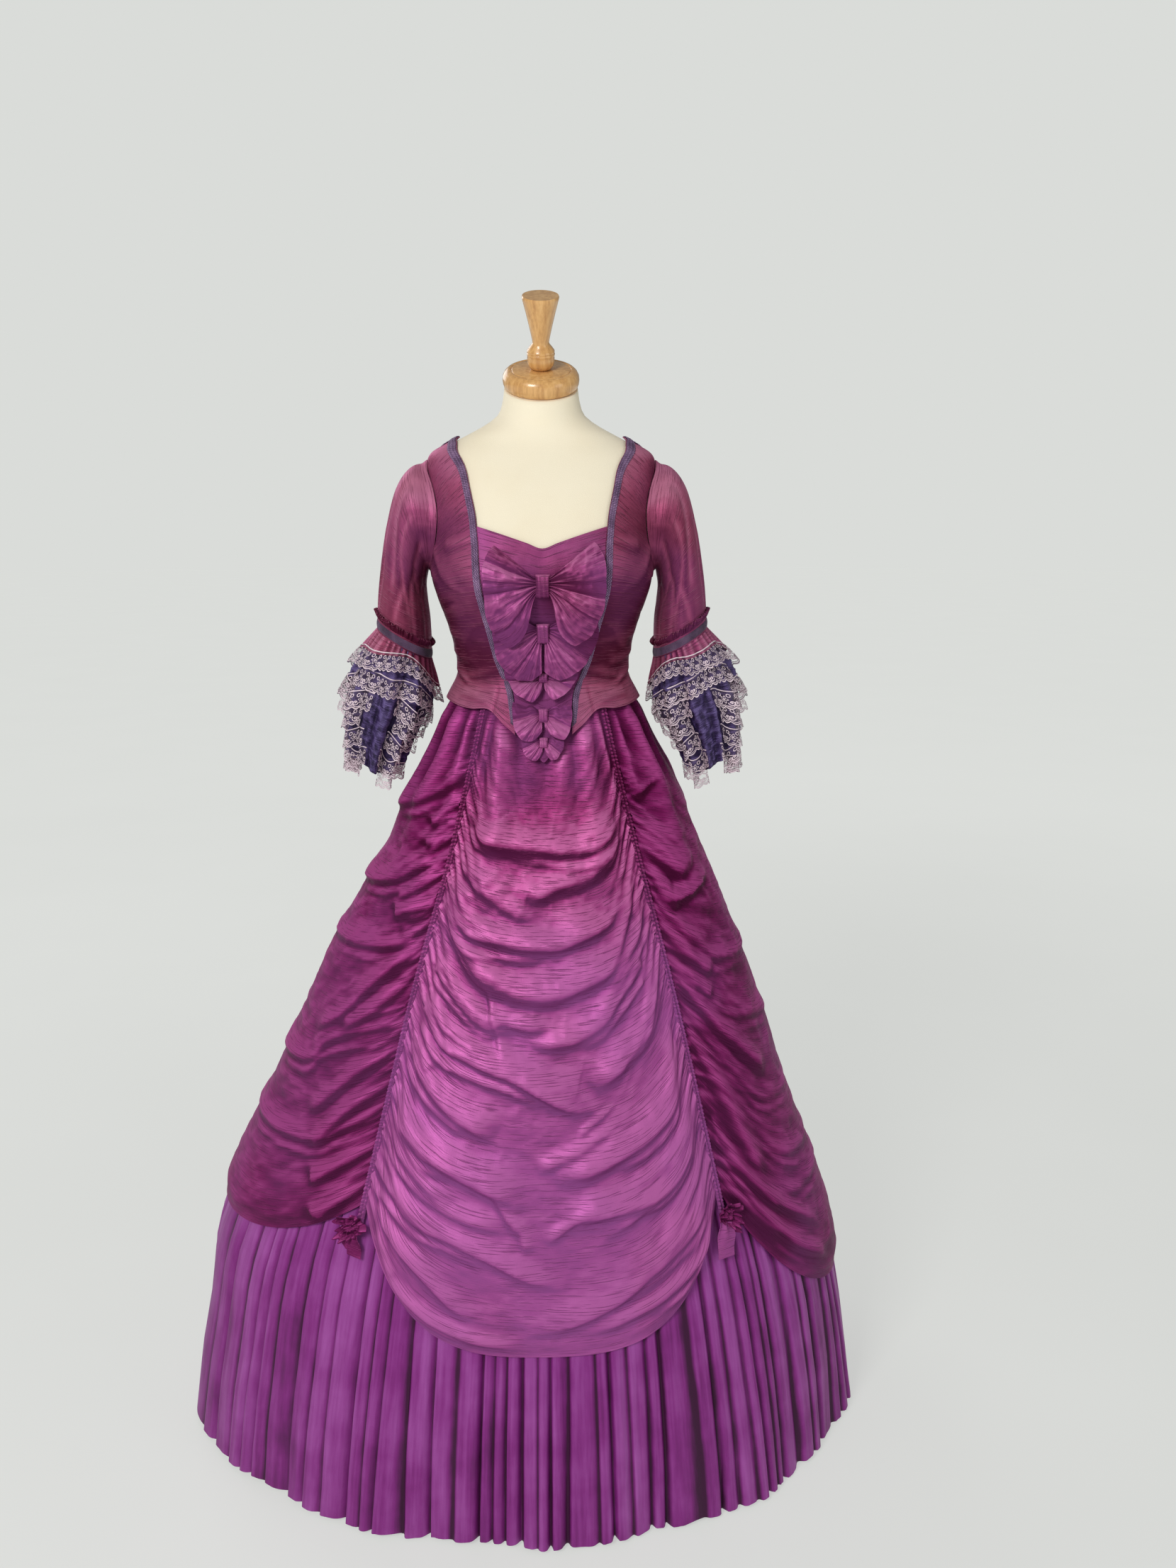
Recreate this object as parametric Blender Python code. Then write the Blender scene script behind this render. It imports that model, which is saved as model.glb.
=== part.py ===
"""A rococo gown, worn by a limbless dress form on a round stand.

Metres, +Z up. The gown faces -Y, so the wearer's left is +X. The origin is on the floor, under the
middle of the stand. Angles go round the upright axis in degrees, from the front (0) past the
wearer's left (90) to the back (180); negative angles pass the wearer's right.
"""

import math
from collections import namedtuple

import bmesh
import bpy
from mathutils import Matrix, Vector

# Heights
WAIST = 1.114
PETTICOAT_TOP = 1.092
OVERSKIRT_TOP = 1.087
FLOUNCE_TOP = 0.460
HEM = 0.004
FORM_BOTTOM = 0.800
NECK_TOP = 1.500
NECK_TILT = math.radians(25.0)
NECK_TILT_START = 1.440

# Cloth and the gaps between pieces
GAP = 0.0003
EASE = 0.0012
CLOTH = 0.0016
SKIRT_CLOTH = 0.0022
LACE = 0.0011
BRAID = 0.0022
BRAID_WIDTH = 0.013
SHARP_EDGE = math.radians(40.0)

FormSection = namedtuple("FormSection", "height side front back square")
FORM = [
    FormSection(FORM_BOTTOM, 0.156, 0.100, 0.122, 2.2),
    FormSection(0.870, 0.166, 0.103, 0.130, 2.2),
    FormSection(0.950, 0.163, 0.103, 0.127, 2.2),
    FormSection(1.020, 0.143, 0.098, 0.106, 2.2),
    FormSection(1.075, 0.123, 0.090, 0.086, 2.2),
    FormSection(1.100, 0.1165, 0.0865, 0.078, 2.2),
    FormSection(WAIST, 0.1155, 0.0865, 0.076, 2.2),
    FormSection(1.140, 0.1185, 0.091, 0.078, 2.2),
    FormSection(1.180, 0.1280, 0.104, 0.083, 2.3),
    FormSection(1.220, 0.1420, 0.116, 0.088, 2.4),
    FormSection(1.250, 0.1495, 0.120, 0.091, 2.5),
    FormSection(1.290, 0.1500, 0.112, 0.094, 2.6),
    FormSection(1.330, 0.1505, 0.099, 0.095, 2.7),
    FormSection(1.370, 0.1520, 0.082, 0.092, 2.7),
    FormSection(1.395, 0.1530, 0.069, 0.085, 2.6),
    FormSection(1.412, 0.1480, 0.060, 0.077, 2.4),
    FormSection(1.426, 0.1250, 0.053, 0.070, 2.2),
    FormSection(1.440, 0.0980, 0.049, 0.063, 2.1),
    FormSection(1.452, 0.0760, 0.048, 0.058, 2.0),
    FormSection(1.464, 0.0600, 0.048, 0.054, 2.0),
    FormSection(1.480, 0.0535, 0.048, 0.051, 2.0),
    FormSection(NECK_TOP, 0.0505, 0.047, 0.050, 2.0),
]
FORM_SIDES = 28
FORM_SINK = 0.0008
# Beneath the armholes, beyond this distance from the middle, the form sinks that much more.
ARMHOLE_SINK = 4.5
ARMHOLE_START = 0.105
ARMHOLE_RUN = 0.035
NECK_BACK = 0.0015

# The bust is a soft mound each side of the front.
BUST_ANGLE = 38.0
BUST_HEIGHT = 1.243
BUST_RISE = 0.010
BUST_SPREAD_ANGLE = 20.0
BUST_SPREAD_HEIGHT = 0.040

# The surface that the bodice lies on below the waist, over the skirts' gathers
BasqueSection = namedtuple("BasqueSection", "height side front back")
BASQUE = [
    BasqueSection(0.990, 0.1860, 0.1310, 0.1560),
    BasqueSection(1.010, 0.1740, 0.1245, 0.1440),
    BasqueSection(1.040, 0.1560, 0.1155, 0.1270),
    BasqueSection(1.060, 0.1440, 0.1090, 0.1140),
    BasqueSection(1.075, 0.1365, 0.1035, 0.1040),
    BasqueSection(1.090, 0.1290, 0.0970, 0.0935),
    BasqueSection(1.100, 0.1240, 0.0925, 0.0860),
    BasqueSection(1.108, 0.1185, 0.0885, 0.0790),
    BasqueSection(WAIST, 0.1155, 0.0865, 0.0760),
]

# The surface that the petticoat hangs in and the overskirt lies on
SkirtSection = namedtuple("SkirtSection", "height right left front back")
SKIRT = [
    SkirtSection(0.000, 0.535, 0.468, 0.366, 0.430),
    SkirtSection(0.100, 0.525, 0.458, 0.357, 0.422),
    SkirtSection(0.200, 0.510, 0.445, 0.343, 0.410),
    SkirtSection(0.300, 0.496, 0.425, 0.325, 0.393),
    SkirtSection(0.400, 0.456, 0.390, 0.303, 0.370),
    SkirtSection(0.500, 0.404, 0.353, 0.276, 0.343),
    SkirtSection(0.600, 0.358, 0.320, 0.246, 0.312),
    SkirtSection(0.700, 0.314, 0.285, 0.215, 0.278),
    SkirtSection(0.800, 0.258, 0.246, 0.182, 0.240),
    SkirtSection(0.870, 0.218, 0.217, 0.158, 0.208),
    SkirtSection(0.920, 0.198, 0.198, 0.142, 0.183),
    SkirtSection(0.970, 0.178, 0.178, 0.126, 0.155),
    SkirtSection(1.020, 0.152, 0.152, 0.112, 0.125),
    SkirtSection(1.070, 0.1300, 0.1300, 0.0980, 0.0955),
    SkirtSection(1.092, 0.1211, 0.1211, 0.0904, 0.0830),
]
# Its sections turn from ellipses to the waist's rounder squares between these heights.
ROUND_BELOW = 0.95
SQUARE_ABOVE = 1.07
WAIST_SQUARE = 2.2


def smooth_row(rows, height):
    """The row of a table at a height between its own, on a smooth curve through them."""
    last = len(rows) - 1
    if height <= rows[0].height:
        return rows[0]
    if height >= rows[last].height:
        return rows[last]
    low = max(i for i in range(last) if rows[i].height <= height)
    high = low + 1
    before, after = max(low - 1, 0), min(high + 1, last)
    span = rows[high].height - rows[low].height
    t = (height - rows[low].height) / span

    def value(column):
        a, b = rows[low][column], rows[high][column]
        slope_a = (b - rows[before][column]) / (rows[high].height - rows[before].height) * span
        slope_b = (rows[after][column] - a) / (rows[after].height - rows[low].height) * span
        return (
            a * (1 + 2 * t) * (1 - t) ** 2
            + slope_a * t * (1 - t) ** 2
            + b * t * t * (3 - 2 * t)
            - slope_b * t * t * (1 - t)
        )

    return rows[0]._make([height] + [value(c) for c in range(1, len(rows[0]))])


def mix(a, b, t):
    return a + (b - a) * t


def ramp(value, start, end):
    """0 at the start, 1 at the end, straight between them and flat beyond."""
    return min(max((value - start) / (end - start), 0.0), 1.0)


def ring_radius(angle, side, depth, square=2.0):
    """How far a rounded section of that half-width and depth reaches in a direction."""
    turn = math.radians(angle)
    across = abs(math.sin(turn)) / side
    along = abs(math.cos(turn)) / depth
    return (across**square + along**square) ** (-1.0 / square)


def around(angle, radius, height):
    turn = math.radians(angle)
    return Vector((radius * math.sin(turn), -radius * math.cos(turn), height))


def faces_front(angle):
    return math.cos(math.radians(angle)) > 0


def bust(angle, height):
    """How far the bust stands out of the plain sections."""
    rise = math.exp(-(((height - BUST_HEIGHT) / BUST_SPREAD_HEIGHT) ** 2))
    turn = (abs(angle) - BUST_ANGLE) / BUST_SPREAD_ANGLE
    return BUST_RISE * rise * math.exp(-(turn**2))


def form_point(angle, height, sink=0.0):
    """A point of the form's surface, or of one sunk under it, more so beneath the armholes."""
    row = smooth_row(FORM, height)
    depth = row.front if faces_front(angle) else row.back
    radius = ring_radius(angle, row.side, depth, row.square) + bust(angle, height)
    aside = radius * abs(math.sin(math.radians(angle)))
    beside = ramp(aside, ARMHOLE_START, ARMHOLE_START + ARMHOLE_RUN)
    radius -= sink * (1.0 + ARMHOLE_SINK * beside * (height > BUST_HEIGHT))
    place = around(angle, radius, height)
    lean = ramp(height, NECK_TILT_START, NECK_TOP)
    place.z += math.tan(NECK_TILT) * place.y * lean
    return place


def basque_point(angle, height):
    row = smooth_row(BASQUE, height)
    depth = row.front if faces_front(angle) else row.back
    return around(angle, ring_radius(angle, row.side, depth, WAIST_SQUARE), height)


def body_point(angle, height):
    """The surface that the bodice lies on."""
    return form_point(angle, height) if height >= WAIST else basque_point(angle, height)


def skirt_radius(angle, height):
    row = smooth_row(SKIRT, height)
    side = row.left if math.sin(math.radians(angle)) > 0 else row.right
    depth = row.front if faces_front(angle) else row.back
    square = mix(2.0, WAIST_SQUARE, ramp(height, ROUND_BELOW, SQUARE_ABOVE))
    return ring_radius(angle, side, depth, square)


def over_body(angle, height, out):
    """A point that far off the body's surface, square to it."""
    step_angle, step_height = 0.5, 0.003
    here = body_point(angle, height)
    across = body_point(angle + step_angle, height) - body_point(angle - step_angle, height)
    up = body_point(angle, height + step_height) - body_point(angle, height - step_height)
    return here + across.cross(up).normalized() * out


# Solids


def material(name, colour, roughness=0.6):
    made = bpy.data.materials.get(name)
    if made:
        return made
    made = bpy.data.materials.new(name)
    made.use_nodes = True
    shader = made.node_tree.nodes["Principled BSDF"]
    shader.inputs["Base Color"].default_value = (*colour, 1.0)
    shader.inputs["Roughness"].default_value = roughness
    return made


def linen():
    return material("linen", (0.86, 0.80, 0.66), 0.8)


def wood():
    return material("wood", (0.62, 0.38, 0.18), 0.35)


def rose_silk():
    return material("rose_silk", (0.33, 0.07, 0.19), 0.5)


def magenta_silk():
    return material("magenta_silk", (0.40, 0.06, 0.26), 0.45)


def purple_cotton():
    return material("purple_cotton", (0.26, 0.06, 0.27), 0.7)


def violet_cotton():
    return material("violet_cotton", (0.12, 0.07, 0.26), 0.7)


def slate_braid():
    return material("slate_braid", (0.19, 0.13, 0.30), 0.8)


def mauve_lace():
    return material("mauve_lace", (0.60, 0.42, 0.52), 0.8)


def add_object(name, mesh, look):
    """Turn a bmesh into an object of the gown's collection, its facets smoothed between edges."""
    bmesh.ops.recalc_face_normals(mesh, faces=mesh.faces[:])
    for edge in mesh.edges:
        edge.smooth = edge.calc_face_angle(math.pi) < SHARP_EDGE
    for face in mesh.faces:
        face.smooth = True
    data = bpy.data.meshes.new(name)
    mesh.to_mesh(data)
    mesh.free()
    data.materials.append(look)
    made = bpy.data.objects.new(name, data)
    bpy.data.collections["rococo_gown"].objects.link(made)
    return made


def strip_faces(mesh, first, second, flip=False):
    """Two triangles for each step between two rows of vertices."""
    for i in range(len(first) - 1):
        a, b, c, d = first[i], first[i + 1], second[i + 1], second[i]
        for corners in ((a, b, c), (a, c, d)):
            mesh.faces.new(corners[::-1] if flip else corners)


def wall(name, outer, inner, look, closed=False):
    """A closed wall between two grids of points: rows one way, columns the other."""
    mesh = bmesh.new()
    sides = []
    for grid in (outer, inner):
        sides.append([[mesh.verts.new(place) for place in row] for row in grid])
    if closed:
        sides = [[row + row[:1] for row in side] for side in sides]
    for side, flip in zip(sides, (False, True)):
        for row in range(len(side) - 1):
            strip_faces(mesh, side[row], side[row + 1], flip)
    front, behind = sides
    for row in (0, -1):
        strip_faces(mesh, front[row], behind[row])
    if not closed:
        for column in (0, -1):
            strip_faces(mesh, [row[column] for row in front], [row[column] for row in behind])
    return add_object(name, mesh, look)


def stacked(name, loops, look):
    """A whole solid through closed loops of points, capped at both ends."""
    mesh = bmesh.new()
    rows = [[mesh.verts.new(place) for place in loop] for loop in loops]
    for low, high in zip(rows, rows[1:]):
        strip_faces(mesh, low + low[:1], high + high[:1])
    mesh.faces.new(rows[0][::-1])
    mesh.faces.new(rows[-1])
    bmesh.ops.triangulate(mesh, faces=[face for face in mesh.faces if len(face.verts) > 3])
    return add_object(name, mesh, look)


def turned(name, profile, sides, look, placing=None):
    """A solid spun from (radius, height) pairs, from the axis to the axis."""
    mesh = bmesh.new()
    verts = [mesh.verts.new((radius, 0.0, height)) for radius, height in profile]
    edges = [mesh.edges.new(pair) for pair in zip(verts, verts[1:])]
    bmesh.ops.spin(
        mesh,
        geom=verts + edges,
        cent=(0.0, 0.0, 0.0),
        axis=(0.0, 0.0, 1.0),
        angle=math.tau,
        steps=sides,
        use_merge=True,
    )
    bmesh.ops.remove_doubles(mesh, verts=mesh.verts[:], dist=0.00001)
    if placing:
        bmesh.ops.transform(mesh, matrix=placing, verts=mesh.verts[:])
    return add_object(name, mesh, look)


# The dress form and its stand

BASE_PROFILE = [(0.0, 0.0), (0.188, 0.0), (0.190, 0.003), (0.190, 0.014), (0.182, 0.022),
                (0.034, 0.036), (0.030, 0.060), (0.0, 0.060)]
POLE_RADIUS = 0.016
CAP_PROFILE = [(0.0, 0.0), (0.0465, 0.0), (0.0500, 0.0045), (0.0518, 0.0110), (0.0505, 0.0185),
               (0.0460, 0.0240), (0.0400, 0.0258), (0.0392, 0.0245), (0.0380, 0.0255), (0.0, 0.0255)]
FINIAL_PROFILE = [(0.0, 0.0), (0.0100, 0.0), (0.0155, 0.0040), (0.0181, 0.0110), (0.0181, 0.0170),
                  (0.0186, 0.0195), (0.0178, 0.0215), (0.0182, 0.0235), (0.0168, 0.0270),
                  (0.0125, 0.0325), (0.0108, 0.0350), (0.0150, 0.0550), (0.0245, 0.0935),
                  (0.0238, 0.0960), (0.0, 0.0960)]


def build_form():
    loops = []
    for row in FORM:
        turns = [360.0 * i / FORM_SIDES - 180.0 for i in range(FORM_SIDES)]
        loops.append([form_point(turn, row.height, FORM_SINK) for turn in turns])
    stacked("form_torso", loops, linen())
    tilt = Matrix.Rotation(NECK_TILT, 4, "X")
    up = tilt @ Vector((0.0, 0.0, 1.0))
    neck = Vector((0.0, NECK_BACK, NECK_TOP + NECK_BACK * math.tan(NECK_TILT)))
    cap_place = Matrix.Translation(neck + up * GAP) @ tilt
    turned("neck_cap", CAP_PROFILE, 22, wood(), cap_place)
    cap_top = CAP_PROFILE[-1][1]
    finial_place = Matrix.Translation(neck + up * (cap_top + 2 * GAP)) @ tilt
    turned("neck_finial", FINIAL_PROFILE, 16, wood(), finial_place)
    turned("stand_base", BASE_PROFILE, 24, wood())
    bottom = BASE_PROFILE[-1][1] + GAP
    top = FORM_BOTTOM - GAP
    pole = [(0.0, bottom), (POLE_RADIUS, bottom), (POLE_RADIUS, top), (0.0, top)]
    turned("stand_pole", pole, 16, wood())


# The bodice. Each row runs from the edge beside the stomacher and the neck to the side seam and
# the armhole, at the wearer's left; the right is its mirror image.

FrontRow = namedtuple("FrontRow", "angle height side_angle side_height")
FRONT = [
    FrontRow(18.5, 1.052, 89.8, 1.080),
    FrontRow(20.5, 1.075, 89.8, 1.092),
    FrontRow(23.5, 1.095, 89.8, 1.104),
    FrontRow(29.5, 1.115, 89.8, 1.116),
    FrontRow(33.8, 1.140, 89.8, 1.136),
    FrontRow(34.5, 1.168, 89.8, 1.160),
    FrontRow(34.3, 1.197, 89.8, 1.185),
    FrontRow(33.6, 1.225, 89.8, 1.208),
    FrontRow(34.0, 1.252, 89.8, 1.232),
    FrontRow(37.5, 1.285, 89.8, 1.248),
    FrontRow(41.8, 1.317, 78.0, 1.262),
    FrontRow(45.0, 1.337, 69.5, 1.288),
    FrontRow(51.3, 1.365, 67.0, 1.318),
    FrontRow(58.0, 1.390, 69.0, 1.345),
    FrontRow(66.0, 1.409, 74.0, 1.368),
    FrontRow(77.0, 1.426, 82.0, 1.390),
    FrontRow(89.8, 1.434, 89.8, 1.404),
]
FRONT_COLUMNS = 6
STOMACHER_ROWS = 11
STOMACHER_CENTRE = [1.008, 1.045, 1.080, 1.112, 1.138, 1.165, 1.192, 1.218, 1.243, 1.267, 1.289]
STOMACHER_COLUMNS = 8
# The basque's front falls to a point from this angle inwards.
POINT_ANGLE = 36.0
POINT_DROP = 0.028

BackRow = namedtuple("BackRow", "height side_angle side_height")
BACK = [
    BackRow(1.066, 90.2, 1.080),
    BackRow(1.082, 90.2, 1.092),
    BackRow(1.098, 90.2, 1.104),
    BackRow(1.116, 90.2, 1.116),
    BackRow(1.140, 90.2, 1.136),
    BackRow(1.166, 90.2, 1.160),
    BackRow(1.192, 90.2, 1.185),
    BackRow(1.216, 90.2, 1.208),
    BackRow(1.240, 90.2, 1.232),
    BackRow(1.264, 90.2, 1.248),
    BackRow(1.286, 102.0, 1.262),
    BackRow(1.306, 110.5, 1.288),
    BackRow(1.325, 113.0, 1.318),
    BackRow(1.341, 111.0, 1.345),
    BackRow(1.354, 106.0, 1.368),
    BackRow(1.364, 98.0, 1.390),
    BackRow(1.370, 90.2, 1.404),
    BackRow(1.374, 90.2, 1.421),
    BackRow(1.386, 90.2, 1.434),
]
BACK_COLUMNS = 7
CENTRE_BACK = 179.85


def bodice_outs():
    """How far the cloth's outer and inner faces stand off the body."""
    return EASE + CLOTH, EASE


def body_sheet(name, plan, side, look, outs=None):
    """A wall on the body from a grid of (angle, height), mirrored to the wearer's right."""
    outer_out, inner_out = outs or bodice_outs()
    grids = []
    for out in (outer_out, inner_out):
        grids.append([[over_body(side * angle, height, out) for angle, height in row] for row in plan])
    return wall(name, grids[0], grids[1], look)


def front_plan():
    """The front's grid, its first strip as wide as the braid that lies on it."""
    plan = []
    for index, row in enumerate(FRONT):
        inner = over_body(row.angle, row.height, 0.0)
        outer = over_body(row.side_angle, row.side_height, 0.0)
        first = min(BRAID_WIDTH / (outer - inner).length, 0.45)
        places = []
        for column in range(FRONT_COLUMNS + 1):
            t = 0.0 if column == 0 else mix(first, 1.0, (column - 1) / (FRONT_COLUMNS - 1))
            angle = mix(row.angle, row.side_angle, t)
            height = mix(row.height, row.side_height, t)
            if index == 0:
                toward_point = max(POINT_ANGLE - angle, 0.0) / (POINT_ANGLE - row.angle)
                height = row.side_height - POINT_DROP * toward_point
            places.append((angle, height))
        plan.append(places)
    plan[1] = [(b[0], (a[1] + c[1]) / 2) for a, b, c in zip(plan[0], plan[1], plan[2])]
    return plan


def back_plan():
    plan = []
    for row in BACK:
        places = []
        for column in range(BACK_COLUMNS + 1):
            t = column / BACK_COLUMNS
            angle = mix(CENTRE_BACK, row.side_angle, t)
            places.append((angle, mix(row.height, row.side_height, t)))
        plan.append(places)
    return plan


def stomacher_plan():
    plan = []
    edge = front_plan()
    for index in range(STOMACHER_ROWS):
        reach = GAP / body_point(0.0, STOMACHER_CENTRE[index]).xy.length
        angle, height = edge[index][0]
        angle -= math.degrees(reach)
        places = []
        for column in range(STOMACHER_COLUMNS + 1):
            t = 2.0 * column / STOMACHER_COLUMNS - 1.0
            places.append((angle * t, mix(STOMACHER_CENTRE[index], height, abs(t))))
        plan.append(places)
    return plan


def build_bodice():
    body_sheet("stomacher", stomacher_plan(), 1, rose_silk())
    braid_outs = (EASE + CLOTH + GAP + BRAID, EASE + CLOTH + GAP)
    for side, word in ((1, "left"), (-1, "right")):
        front, back = front_plan(), back_plan()
        body_sheet("bodice_front_" + word, front, side, rose_silk())
        body_sheet("bodice_back_" + word, back, side, rose_silk())
        edge = [row[:2] for row in front]
        body_sheet("braid_front_" + word, edge, side, slate_braid(), braid_outs)
        body_sheet("braid_back_" + word, back[-2:], side, slate_braid(), braid_outs)


# Bows down the stomacher. A wing's edge is drawn by its reach in each direction from the knot, in
# degrees above (+) or below (-) level.

Bow = namedtuple("Bow", "centre height reach top bottom knot_width knot_height lift stand")
BOWS = [
    Bow(0.0, 1.242, 0.0715, 38.0, -58.0, 0.010, 0.014, 0.015, 0.0008),
    Bow(0.0, 1.181, 0.0610, 9.0, -62.0, 0.009, 0.013, 0.009, 0.0008),
    Bow(0.0, 1.117, 0.0440, 2.0, -58.0, 0.007, 0.009, 0.008, 0.0013),
    Bow(0.0, 1.067, 0.0380, 24.0, -54.0, 0.007, 0.009, 0.007, 0.0008),
    Bow(0.0, 1.033, 0.0280, 14.0, -56.0, 0.006, 0.007, 0.000, 0.0006),
]
BOW_STEPS = [0.10, 0.42, 0.78, 1.0]
BOW_PUFF = [0.0035, 0.0065, 0.0070, 0.0030]
BOW_RAYS = 5
KNOT_STEPS = (-1.0, 0.0, 1.0)
BOW_VALLEY = 0.62
BOW_SPREAD = (0.97, 1.04)
BOW_VALLEY_REACH = 0.10
# The innermost column stands just beside the knot and a little shorter.
BESIDE_KNOT = 1.15
KNOT_SHARE = 0.8
KNOT_RISE = 0.0050
KNOT_ROUND = 0.4
KNOT_EDGE = 0.6
BOW_RISE = 0.0110
# A bow's lower part lifts over the next bow, from and to these shares of its reach.
BOW_LIFT_START = 0.38
BOW_LIFT_END = 0.63
FULL_BOW_REACH = 0.07


def bow_place(bow, sideways, upward, out):
    height = bow.height + upward
    radius = body_point(0.0, height).xy.length
    return over_body(math.degrees(bow.centre + sideways / radius), height, out)


def bow_base(bow):
    return EASE + CLOTH + bow.stand


def bow_scale(bow):
    return min(bow.reach / FULL_BOW_REACH, 1.0)


def bow_columns():
    """The grid's columns across both wings, as (wing, step)."""
    steps = range(len(BOW_STEPS))
    return [(-1, step) for step in reversed(steps)] + [(1, step) for step in steps]


def bow_spot(bow, ray, wing, step):
    """Where a point of the bow's grid lies: sideways, upward, its back and its puff."""
    t = ray / (BOW_RAYS - 1)
    valley = ray % 2 == 1
    reach = bow.reach * mix(*BOW_SPREAD, t)
    reach *= 1.0 + BOW_VALLEY_REACH * math.sin(math.pi * t) * valley
    direction = math.radians(mix(bow.top, bow.bottom, t))
    sideways = wing * BOW_STEPS[step] * reach * math.cos(direction)
    upward = BOW_STEPS[step] * reach * math.sin(direction)
    if step == 0:
        upward = mix(bow.knot_height, -bow.knot_height, t) * KNOT_SHARE
        sideways = wing * bow.knot_width * BESIDE_KNOT
    overlap = ramp(-upward / bow.reach, BOW_LIFT_START, BOW_LIFT_END)
    aside = (abs(sideways) - bow.knot_width * BESIDE_KNOT) / bow.reach
    back = bow_base(bow) + bow.lift * overlap + BOW_RISE * aside**2
    puff = BOW_PUFF[step] * bow_scale(bow) * (BOW_VALLEY if valley else 1.0)
    return sideways, upward, back, puff


def build_bow(index, bow):
    fronts, backs = [], []
    for ray in range(BOW_RAYS):
        spots = [bow_spot(bow, ray, wing, step) for wing, step in bow_columns()]
        fronts.append([bow_place(bow, x, z, back + puff) for x, z, back, puff in spots])
        backs.append([bow_place(bow, x, z, back) for x, z, back, puff in spots])
    wall("bow_%d" % index, fronts, backs, magenta_silk())
    crest = bow_base(bow) + BOW_PUFF[0] * bow_scale(bow) + 3 * GAP
    low, high = [], []
    for t in KNOT_STEPS:
        rise = KNOT_RISE * (1.0 - KNOT_ROUND * t * t)
        across = [(x * bow.knot_width, rise * mix(1.0, KNOT_EDGE, abs(x))) for x in KNOT_STEPS]
        high.append([bow_place(bow, x, t * bow.knot_height, crest + up) for x, up in across])
        low.append([bow_place(bow, x, t * bow.knot_height, crest) for x, up in across])
    wall("bow_knot_%d" % index, high, low, magenta_silk())


def build_bows():
    for index, bow in enumerate(BOWS, start=1):
        build_bow(index, bow)


# Sleeves and their cuffs. A loop round the arm is an ellipse between its outer and its inner edge;
# its turn goes from the front (0) past the outer side (90) and the back (180) to the body's side.

ArmLoop = namedtuple("ArmLoop", "outer_x outer_z inner_x inner_z y deep")
SLEEVE = [
    ArmLoop(0.1790, 1.3940, 0.1575, 1.2600, 0.003, 0.064),
    ArmLoop(0.1980, 1.3680, 0.1610, 1.2500, 0.004, 0.064),
    ArmLoop(0.2110, 1.3250, 0.1630, 1.2360, 0.006, 0.064),
    ArmLoop(0.2200, 1.2800, 0.1615, 1.2160, 0.008, 0.064),
    ArmLoop(0.2270, 1.2300, 0.1585, 1.1880, 0.009, 0.063),
    ArmLoop(0.2310, 1.1775, 0.1580, 1.1350, 0.010, 0.062),
]
SLEEVE_SIDES = 16
# The sleeve's head stands this far outside the armhole's edge, and this far round it.
HEAD_ASIDE = 0.0022
HEAD_ROUND = 0.0012

# Below the cuff's braid the flounces follow these loops, a step of drop apart.
CUFF = [
    SLEEVE[-1],
    ArmLoop(0.2600, 1.1400, 0.1530, 1.0980, 0.008, 0.077),
    ArmLoop(0.2780, 1.0980, 0.1570, 1.0600, 0.008, 0.084),
    ArmLoop(0.2850, 1.0550, 0.1760, 1.0220, 0.010, 0.082),
    ArmLoop(0.2860, 1.0120, 0.1925, 0.9850, 0.014, 0.078),
    ArmLoop(0.2840, 0.9700, 0.2070, 0.9480, 0.018, 0.072),
]
CUFF_STEP = 0.040
CUFF_BRAID = (-0.0140, -0.0006)
CUFF_HEADING = (-0.0225, -0.0145)
HEADING_FLARE = 0.0055
# The length of the sleeve's last step
LAST_STEP = 0.054

Tier = namedtuple("Tier", "name front back top_inset inset look")
TIERS = [
    Tier("flounce_silk", 0.022, 0.070, 0.0000, 0.0000, rose_silk),
    Tier("flounce_short", 0.052, 0.112, 0.0018, 0.0058, violet_cotton),
    Tier("flounce_long", 0.078, 0.166, 0.0036, 0.0116, violet_cotton),
]
TIER_CLOTH = 0.0012
TIER_WAVES = 8
TIER_WAVE = 0.0042
# The waves and the tiers' insets are full from these drops on.
WAVE_RUN = 0.04
INSET_RUN = 0.03
TIER_STEPS = (0.0, 0.45, 1.0)
LACE_DROP = 0.023


def arm_point(loop, turn, side, out):
    """A point of an arm loop, moved out from its middle in the loop's own plane."""
    spin = math.radians(turn)
    outer = Vector((loop.outer_x, 0.0, loop.outer_z))
    inner = Vector((loop.inner_x, 0.0, loop.inner_z))
    half = (outer - inner) / 2
    place = (outer + inner) / 2 + (half + half.normalized() * out) * math.sin(spin)
    place.y = loop.y - (loop.deep + out) * math.cos(spin)
    place.x *= side
    return place


def between_loops(loops, position):
    """The arm loop that far along a list of them."""
    low = min(max(int(position), 0), len(loops) - 2)
    pairs = zip(loops[low], loops[low + 1])
    return ArmLoop(*(mix(a, b, position - low) for a, b in pairs))


def armhole(side, out):
    """The armhole's edge, from the shoulder down the front and up the back."""
    front = [(row.side_angle, row.side_height) for row in FRONT[9:]]
    back = [(row.side_angle, row.side_height) for row in BACK[10:16]]
    return [over_body(side * angle, height, out) for angle, height in front[::-1] + back]


def resample(loop, count):
    """The points at equal steps along a closed loop."""
    closed = loop + loop[:1]
    lengths = [0.0]
    for a, b in zip(closed, closed[1:]):
        lengths.append(lengths[-1] + (b - a).length)
    places = []
    for index in range(count):
        target = lengths[-1] * index / count
        step = max(i for i in range(len(loop)) if lengths[i] <= target)
        t = (target - lengths[step]) / (lengths[step + 1] - lengths[step])
        places.append(closed[step].lerp(closed[step + 1], t))
    return places


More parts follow.
